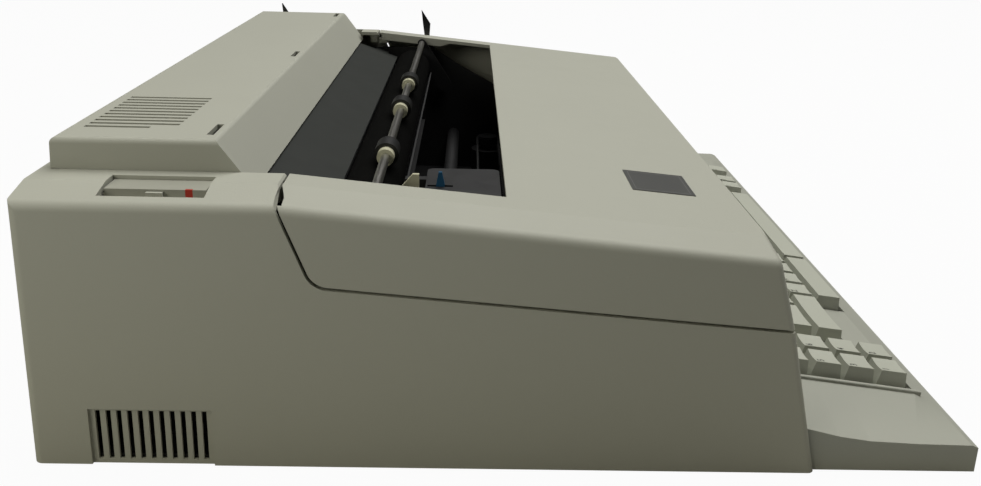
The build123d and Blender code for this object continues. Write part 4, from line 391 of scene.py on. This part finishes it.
def loose_pieces(obj):
    """Corner points of each separate piece of a mesh."""
    mesh = obj.data
    points = np.empty(len(mesh.vertices) * 3)
    mesh.vertices.foreach_get("co", points)
    points = points.reshape(-1, 3)
    _, same = np.unique(np.round(points, 6), axis=0, return_inverse=True)
    same = same.reshape(-1)
    parent = np.arange(same.max() + 1)

    def root(i):
        while parent[i] != i:
            parent[i] = parent[parent[i]]
            i = parent[i]
        return i

    for edge in mesh.edges:
        a, b = root(same[edge.vertices[0]]), root(same[edge.vertices[1]])
        if a != b:
            parent[a] = b
    roots = np.array([root(i) for i in same])
    return [points[roots == r] for r in np.unique(roots)]


def key_tops(node):
    """Rectangle and height of each key top in deck axes, front row first, left to right."""
    tops = []
    for points in loose_pieces(NODES[node]):
        local = points @ np.array(TO_DECK).T
        z = local[:, 2].max()
        high = local[local[:, 2] > z - TOP_BAND]
        x0, y0 = high[:, 0].min(), high[:, 1].min()
        tops.append((round(y0, 3), x0, high[:, 0].max(), y0, high[:, 1].max(), z))
    tops.sort()
    return [top[1:] for top in tops]


# %% Lay the legends on the keys
STROKE_GROWTH = 0.012
CURVE_STEPS = 3


def glyph(text):
    """Points and faces of a text drawn one unit high."""
    curve = bpy.data.curves.new("glyph", "FONT")
    curve.body = text
    curve.size = 1.0
    curve.offset = STROKE_GROWTH
    curve.resolution_u = CURVE_STEPS
    obj = bpy.data.objects.new("glyph", curve)
    bpy.context.scene.collection.objects.link(obj)
    bpy.context.view_layer.update()
    mesh = bpy.data.meshes.new_from_object(obj.evaluated_get(bpy.context.evaluated_depsgraph_get()))
    points = [v.co.copy() for v in mesh.vertices]
    faces = [tuple(p.vertices) for p in mesh.polygons]
    bpy.data.objects.remove(obj)
    bpy.data.curves.remove(curve)
    bpy.data.meshes.remove(mesh)
    return points, faces


GLYPHS = {}
LEGEND_MARGIN = 1.3 * MM
LEGEND_LIFT = 0.08 * MM
SEARCH_HEIGHT = 3 * MM


def legend_mesh(node, texts, size_mm):
    """One mesh with the legends of the keys of a part."""
    data = NODES[node].data
    corners = [v.co for v in data.vertices]
    surface = BVHTree.FromPolygons(corners, [tuple(p.vertices) for p in data.polygons])
    normal = FROM_DECK @ Vector((0, 0, 1))
    points, faces = [], []
    for (x0, _, _, y1, top), text in zip(key_tops(node), texts):
        if not text:
            continue
        if text not in GLYPHS:
            GLYPHS[text] = glyph(text)
        drawn, polygons = GLYPHS[text]
        shape = [p * size_mm * MM for p in drawn]
        left = x0 + LEGEND_MARGIN
        low = y1 - LEGEND_MARGIN - max(p.y for p in shape)
        start = len(points)
        for p in shape:
            above = FROM_DECK @ Vector((left + p.x, low + p.y, top + SEARCH_HEIGHT))
            landed = surface.ray_cast(above, -normal)[0]
            points.append(landed + normal * LEGEND_LIFT)
        faces += [tuple(i + start for i in polygon) for polygon in polygons]
    mesh = bpy.data.meshes.new(node + "_legends")
    mesh.from_pydata(points, [], faces)
    obj = bpy.data.objects.new(node + "_legends", mesh)
    bpy.context.scene.collection.objects.link(obj)
    dress(obj, LEGEND)
    return obj


LEGEND_SIZE = 5.6
NUMBERS = [str(n) for n in range(1, 16)]
LEGENDS = {
    "number_row_keys": list("`1234567890-="),
    "upper_row_keys": [""] + list("QWERTYUIOP[]") + [""],
    "home_row_keys": [""] + list("ASDFGHJKL;'"),
    "lower_row_keys": list("ZXCVBNM,./"),
    "left_function_keys": NUMBERS[:10],
    "right_function_keys": NUMBERS,
}
KEY_BODIES = {name: name + "_set" for name in KEY_NODES}
for node, texts in LEGENDS.items():
    obj = legend_mesh(node, texts, LEGEND_SIZE)
    print(node, len(obj.data.polygons), "legend faces")
    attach(obj, KEY_BODIES[node])

# %% [markdown]
# ## Rows and rings of small details
# The belt has a tooth every five millimetres, and each petal of the print wheel ends in a raised
# character. Both repeat one small block by a rule, so one Geometry Nodes tree makes each of
# them: points on a line or a ring, a block on every point, and then real mesh.

# %% A tree that repeats a block
SOCKETS = (("Count", "NodeSocketInt"), ("Spacing", "NodeSocketFloat"), ("Size", "NodeSocketVector"),
           ("Material", "NodeSocketMaterial"))


def repeat_tree(name, ring):
    """Blocks in a row along X, or in a ring about Z."""
    tree = bpy.data.node_groups.new(name, "GeometryNodeTree")
    tree.interface.new_socket("Geometry", in_out="INPUT", socket_type="NodeSocketGeometry")
    for label, kind in SOCKETS:
        tree.interface.new_socket(label, in_out="INPUT", socket_type=kind)
    tree.interface.new_socket("Geometry", in_out="OUTPUT", socket_type="NodeSocketGeometry")
    add = tree.nodes.new
    link = tree.links.new
    given = add("NodeGroupInput")
    block = add("GeometryNodeMeshCube")
    place = add("GeometryNodeInstanceOnPoints")
    link(given.outputs["Size"], block.inputs["Size"])
    if ring:
        spots = add("GeometryNodeMeshCircle")
        aim = add("FunctionNodeAlignRotationToVector")
        aim.axis = "X"
        aim.pivot_axis = "Z"
        link(given.outputs["Count"], spots.inputs["Vertices"])
        link(given.outputs["Spacing"], spots.inputs["Radius"])
        link(add("GeometryNodeInputPosition").outputs[0], aim.inputs["Vector"])
        link(aim.outputs[0], place.inputs["Rotation"])
    else:
        spots = add("GeometryNodeMeshLine")
        step = add("ShaderNodeCombineXYZ")
        link(given.outputs["Count"], spots.inputs["Count"])
        link(given.outputs["Spacing"], step.inputs["X"])
        link(step.outputs[0], spots.inputs["Offset"])
    link(spots.outputs["Mesh"], place.inputs["Points"])
    link(block.outputs["Mesh"], place.inputs["Instance"])
    real = add("GeometryNodeRealizeInstances")
    painted = add("GeometryNodeSetMaterial")
    link(place.outputs[0], real.inputs[0])
    link(real.outputs[0], painted.inputs[0])
    link(given.outputs["Material"], painted.inputs["Material"])
    link(painted.outputs[0], add("NodeGroupOutput").inputs[0])
    return tree


def repeated(name, ring, values, place):
    """A plain mesh of the repeated block, moved to its place."""
    obj = bpy.data.objects.new(name, bpy.data.meshes.new(name))
    bpy.context.scene.collection.objects.link(obj)
    modifier = obj.modifiers.new("repeat", "NODES")
    modifier.node_group = repeat_tree(name + "_tree", ring)
    for item in modifier.node_group.interface.items_tree:
        if item.in_out == "INPUT" and item.name in values:
            modifier[item.identifier] = values[item.name]
    graph = bpy.context.evaluated_depsgraph_get()
    mesh = bpy.data.meshes.new_from_object(obj.evaluated_get(graph))
    obj.modifiers.clear()
    obj.data = mesh
    mesh.transform(place)
    print(name, len(mesh.polygons), "faces")
    return obj


# %% Belt teeth
TOOTH_PITCH = 5 * MM
TOOTH_DEPTH = 0.9 * MM
BELT_WALL = 1.2 * MM
TOOTH_BITE = 0.4
TOOTH_WIDTH_SHARE = 0.9
(belt_x0, belt_y0, belt_z0), (belt_x1, belt_y1, belt_z1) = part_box("drive_belt")
run = (belt_x1 - belt_x0) - (belt_y1 - belt_y0) - 2 * TOOTH_PITCH
count = int(run / TOOTH_PITCH) + 1
tooth_size = (TOOTH_PITCH / 2, TOOTH_DEPTH, (belt_z1 - belt_z0) * TOOTH_WIDTH_SHARE)
row_start = (belt_x0 + belt_x1) / 2 - (count - 1) * TOOTH_PITCH / 2
tooth_inset = BELT_WALL + TOOTH_DEPTH * TOOTH_BITE
for label, y in (("front", belt_y0 + tooth_inset), ("rear", belt_y1 - tooth_inset)):
    values = {"Count": count, "Spacing": TOOTH_PITCH, "Size": tooth_size, "Material": TYRE}
    place = Matrix.Translation((row_start, y, (belt_z0 + belt_z1) / 2))
    teeth = repeated("belt_teeth_" + label, False, values, place)
    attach(teeth, "machine")

# %% Characters of the print wheel
PETALS = 32
SLUG = (2.6 * MM, 1.3 * MM, 0.7 * MM)
SLUG_INSET = 2.0 * MM
SLUG_RISE = 0.3
(wheel_x0, _, wheel_z0), (wheel_x1, wheel_y1, wheel_z1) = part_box("print_wheel")
radius = (wheel_x1 - wheel_x0) / 2 - SLUG_INSET
centre = ((wheel_x0 + wheel_x1) / 2, wheel_y1 + SLUG[2] * SLUG_RISE, (wheel_z0 + wheel_z1) / 2)
place = Matrix.Translation(centre) @ Matrix.Rotation(math.pi / 2, 4, "X")
values = {"Count": PETALS, "Spacing": radius, "Size": SLUG, "Material": STEEL}
slugs = repeated("wheel_characters", True, values, place)
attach(slugs, "wheel")

# %% [markdown]
# ## Room and light
# A white surround and a floor that looks white but throws little light back. One broad soft
# light hangs over the machine, a little forward and towards the far side. A small warm one
# stands behind the near corner, so that the near side is in soft shade and fades forwards.

# %% Floor
FLOOR_SEEN = 0.96
FLOOR_SIZE = 14
bpy.ops.mesh.primitive_plane_add(size=FLOOR_SIZE, location=(0, 0, 0))
floor = bpy.context.active_object
floor.name = "floor"
floor_shade = Shade("floor_paint")
floor_shade.paint(floor_shade.blend(floor_shade.noise(3.0), (0.41, 0.41, 0.39), (0.43, 0.43, 0.41)), 0.9)
floor_tree = floor_shade.tree
white = floor_tree.nodes.new("ShaderNodeEmission")
white.inputs["Color"].default_value = (1, 1, 1, 1)
ray = floor_tree.nodes.new("ShaderNodeLightPath")
mixed = floor_tree.nodes.new("ShaderNodeMixShader")
seen_share = floor_shade.value(ray.outputs["Is Camera Ray"]) * FLOOR_SEEN
floor_tree.links.new(seen_share.socket, mixed.inputs[0])
floor_tree.links.new(floor_shade.surface.outputs[0], mixed.inputs[1])
floor_tree.links.new(white.outputs[0], mixed.inputs[2])
floor_tree.links.new(mixed.outputs[0], floor_tree.nodes["Material Output"].inputs["Surface"])
dress(floor, floor_shade.material)
print("floor", FLOOR_SIZE, "metres square")


# %% Lights
def area_light(name, place, target, size, power, color):
    light = bpy.data.lights.new(name, "AREA")
    light.shape = "RECTANGLE"
    light.size, light.size_y = size
    light.energy = power
    light.color = color
    obj = bpy.data.objects.new(name, light)
    bpy.context.scene.collection.objects.link(obj)
    obj.location = place
    obj.rotation_euler = (Vector(target) - Vector(place)).to_track_quat("-Z", "Y").to_euler()
    print(name, "light", power, "W at", place)


OVERHEAD_POWER = 61.0
REAR_SIDE_POWER = 2.5
AMBIENT = 0.018
DAYLIGHT = (1.0, 0.995, 0.97)
WARM = (1.0, 0.98, 0.87)
OVERHEAD_PLACE = (0.45, -0.42, 2.15)
REAR_SIDE_PLACE = (-0.72, 0.72, 0.5)
area_light("overhead", OVERHEAD_PLACE, (0, 0, 0.1), (2.6, 2.2), OVERHEAD_POWER, DAYLIGHT)
area_light("rear_side", REAR_SIDE_PLACE, (-0.28, 0.2, 0.1), (0.5, 0.4), REAR_SIDE_POWER, WARM)

# %% Surround
world = bpy.data.worlds.new("surround")
bpy.context.scene.world = world
world.use_nodes = True
tree = world.node_tree
background = tree.nodes["Background"]
rays = tree.nodes.new("ShaderNodeLightPath")
seen = tree.nodes.new("ShaderNodeMix")
seen.data_type = "FLOAT"
tree.links.new(rays.outputs["Is Camera Ray"], seen.inputs[0])
seen.inputs[2].default_value = AMBIENT
seen.inputs[3].default_value = 1.0
background.inputs["Color"].default_value = (*WARM, 1)
tree.links.new(seen.outputs[0], background.inputs["Strength"])
print("surround", AMBIENT, "to the part and 1.0 to the camera")

# %% [markdown]
# ## Camera
# It stands where the photo was taken. The focal length and the shift are in pixels of the
# picture, the angles in degrees and the place in metres.

# %% Camera
PHOTO = (981, 486)
FILM_WIDTH = 36.0
FOCAL = 938.15
PITCH = 16.335
YAW = -1.4256
ROLL = 1.5853
PLACE = (-0.69534, 0.02598, 0.28792)
SHIFT = (-1.769, -81.18)
pitch, yaw, roll = (math.radians(a) for a in (PITCH, YAW, ROLL))
forward = Vector((math.cos(pitch) * math.cos(yaw), math.cos(pitch) * math.sin(yaw), -math.sin(pitch)))
right = forward.cross(Vector((0, 0, 1))).normalized()
up = right.cross(forward)
turned_right = right * math.cos(roll) + up * math.sin(roll)
turned_up = up * math.cos(roll) - right * math.sin(roll)
camera_data = bpy.data.cameras.new("camera")
camera_data.sensor_width = FILM_WIDTH
camera_data.lens = FOCAL / PHOTO[0] * FILM_WIDTH
camera_data.shift_x = -SHIFT[0] / PHOTO[0]
camera_data.shift_y = SHIFT[1] / PHOTO[0]
camera_data.clip_start = 0.01
camera = bpy.data.objects.new("camera", camera_data)
bpy.context.scene.collection.objects.link(camera)
turn = Matrix((turned_right, turned_up, -forward)).transposed()
camera.matrix_world = Matrix.Translation(PLACE) @ turn.to_4x4()
scene = bpy.context.scene
scene.camera = camera
scene.render.resolution_x, scene.render.resolution_y = PHOTO
scene.view_settings.view_transform = "Standard"
print("camera at", PLACE, "with a lens of", round(camera_data.lens, 2))
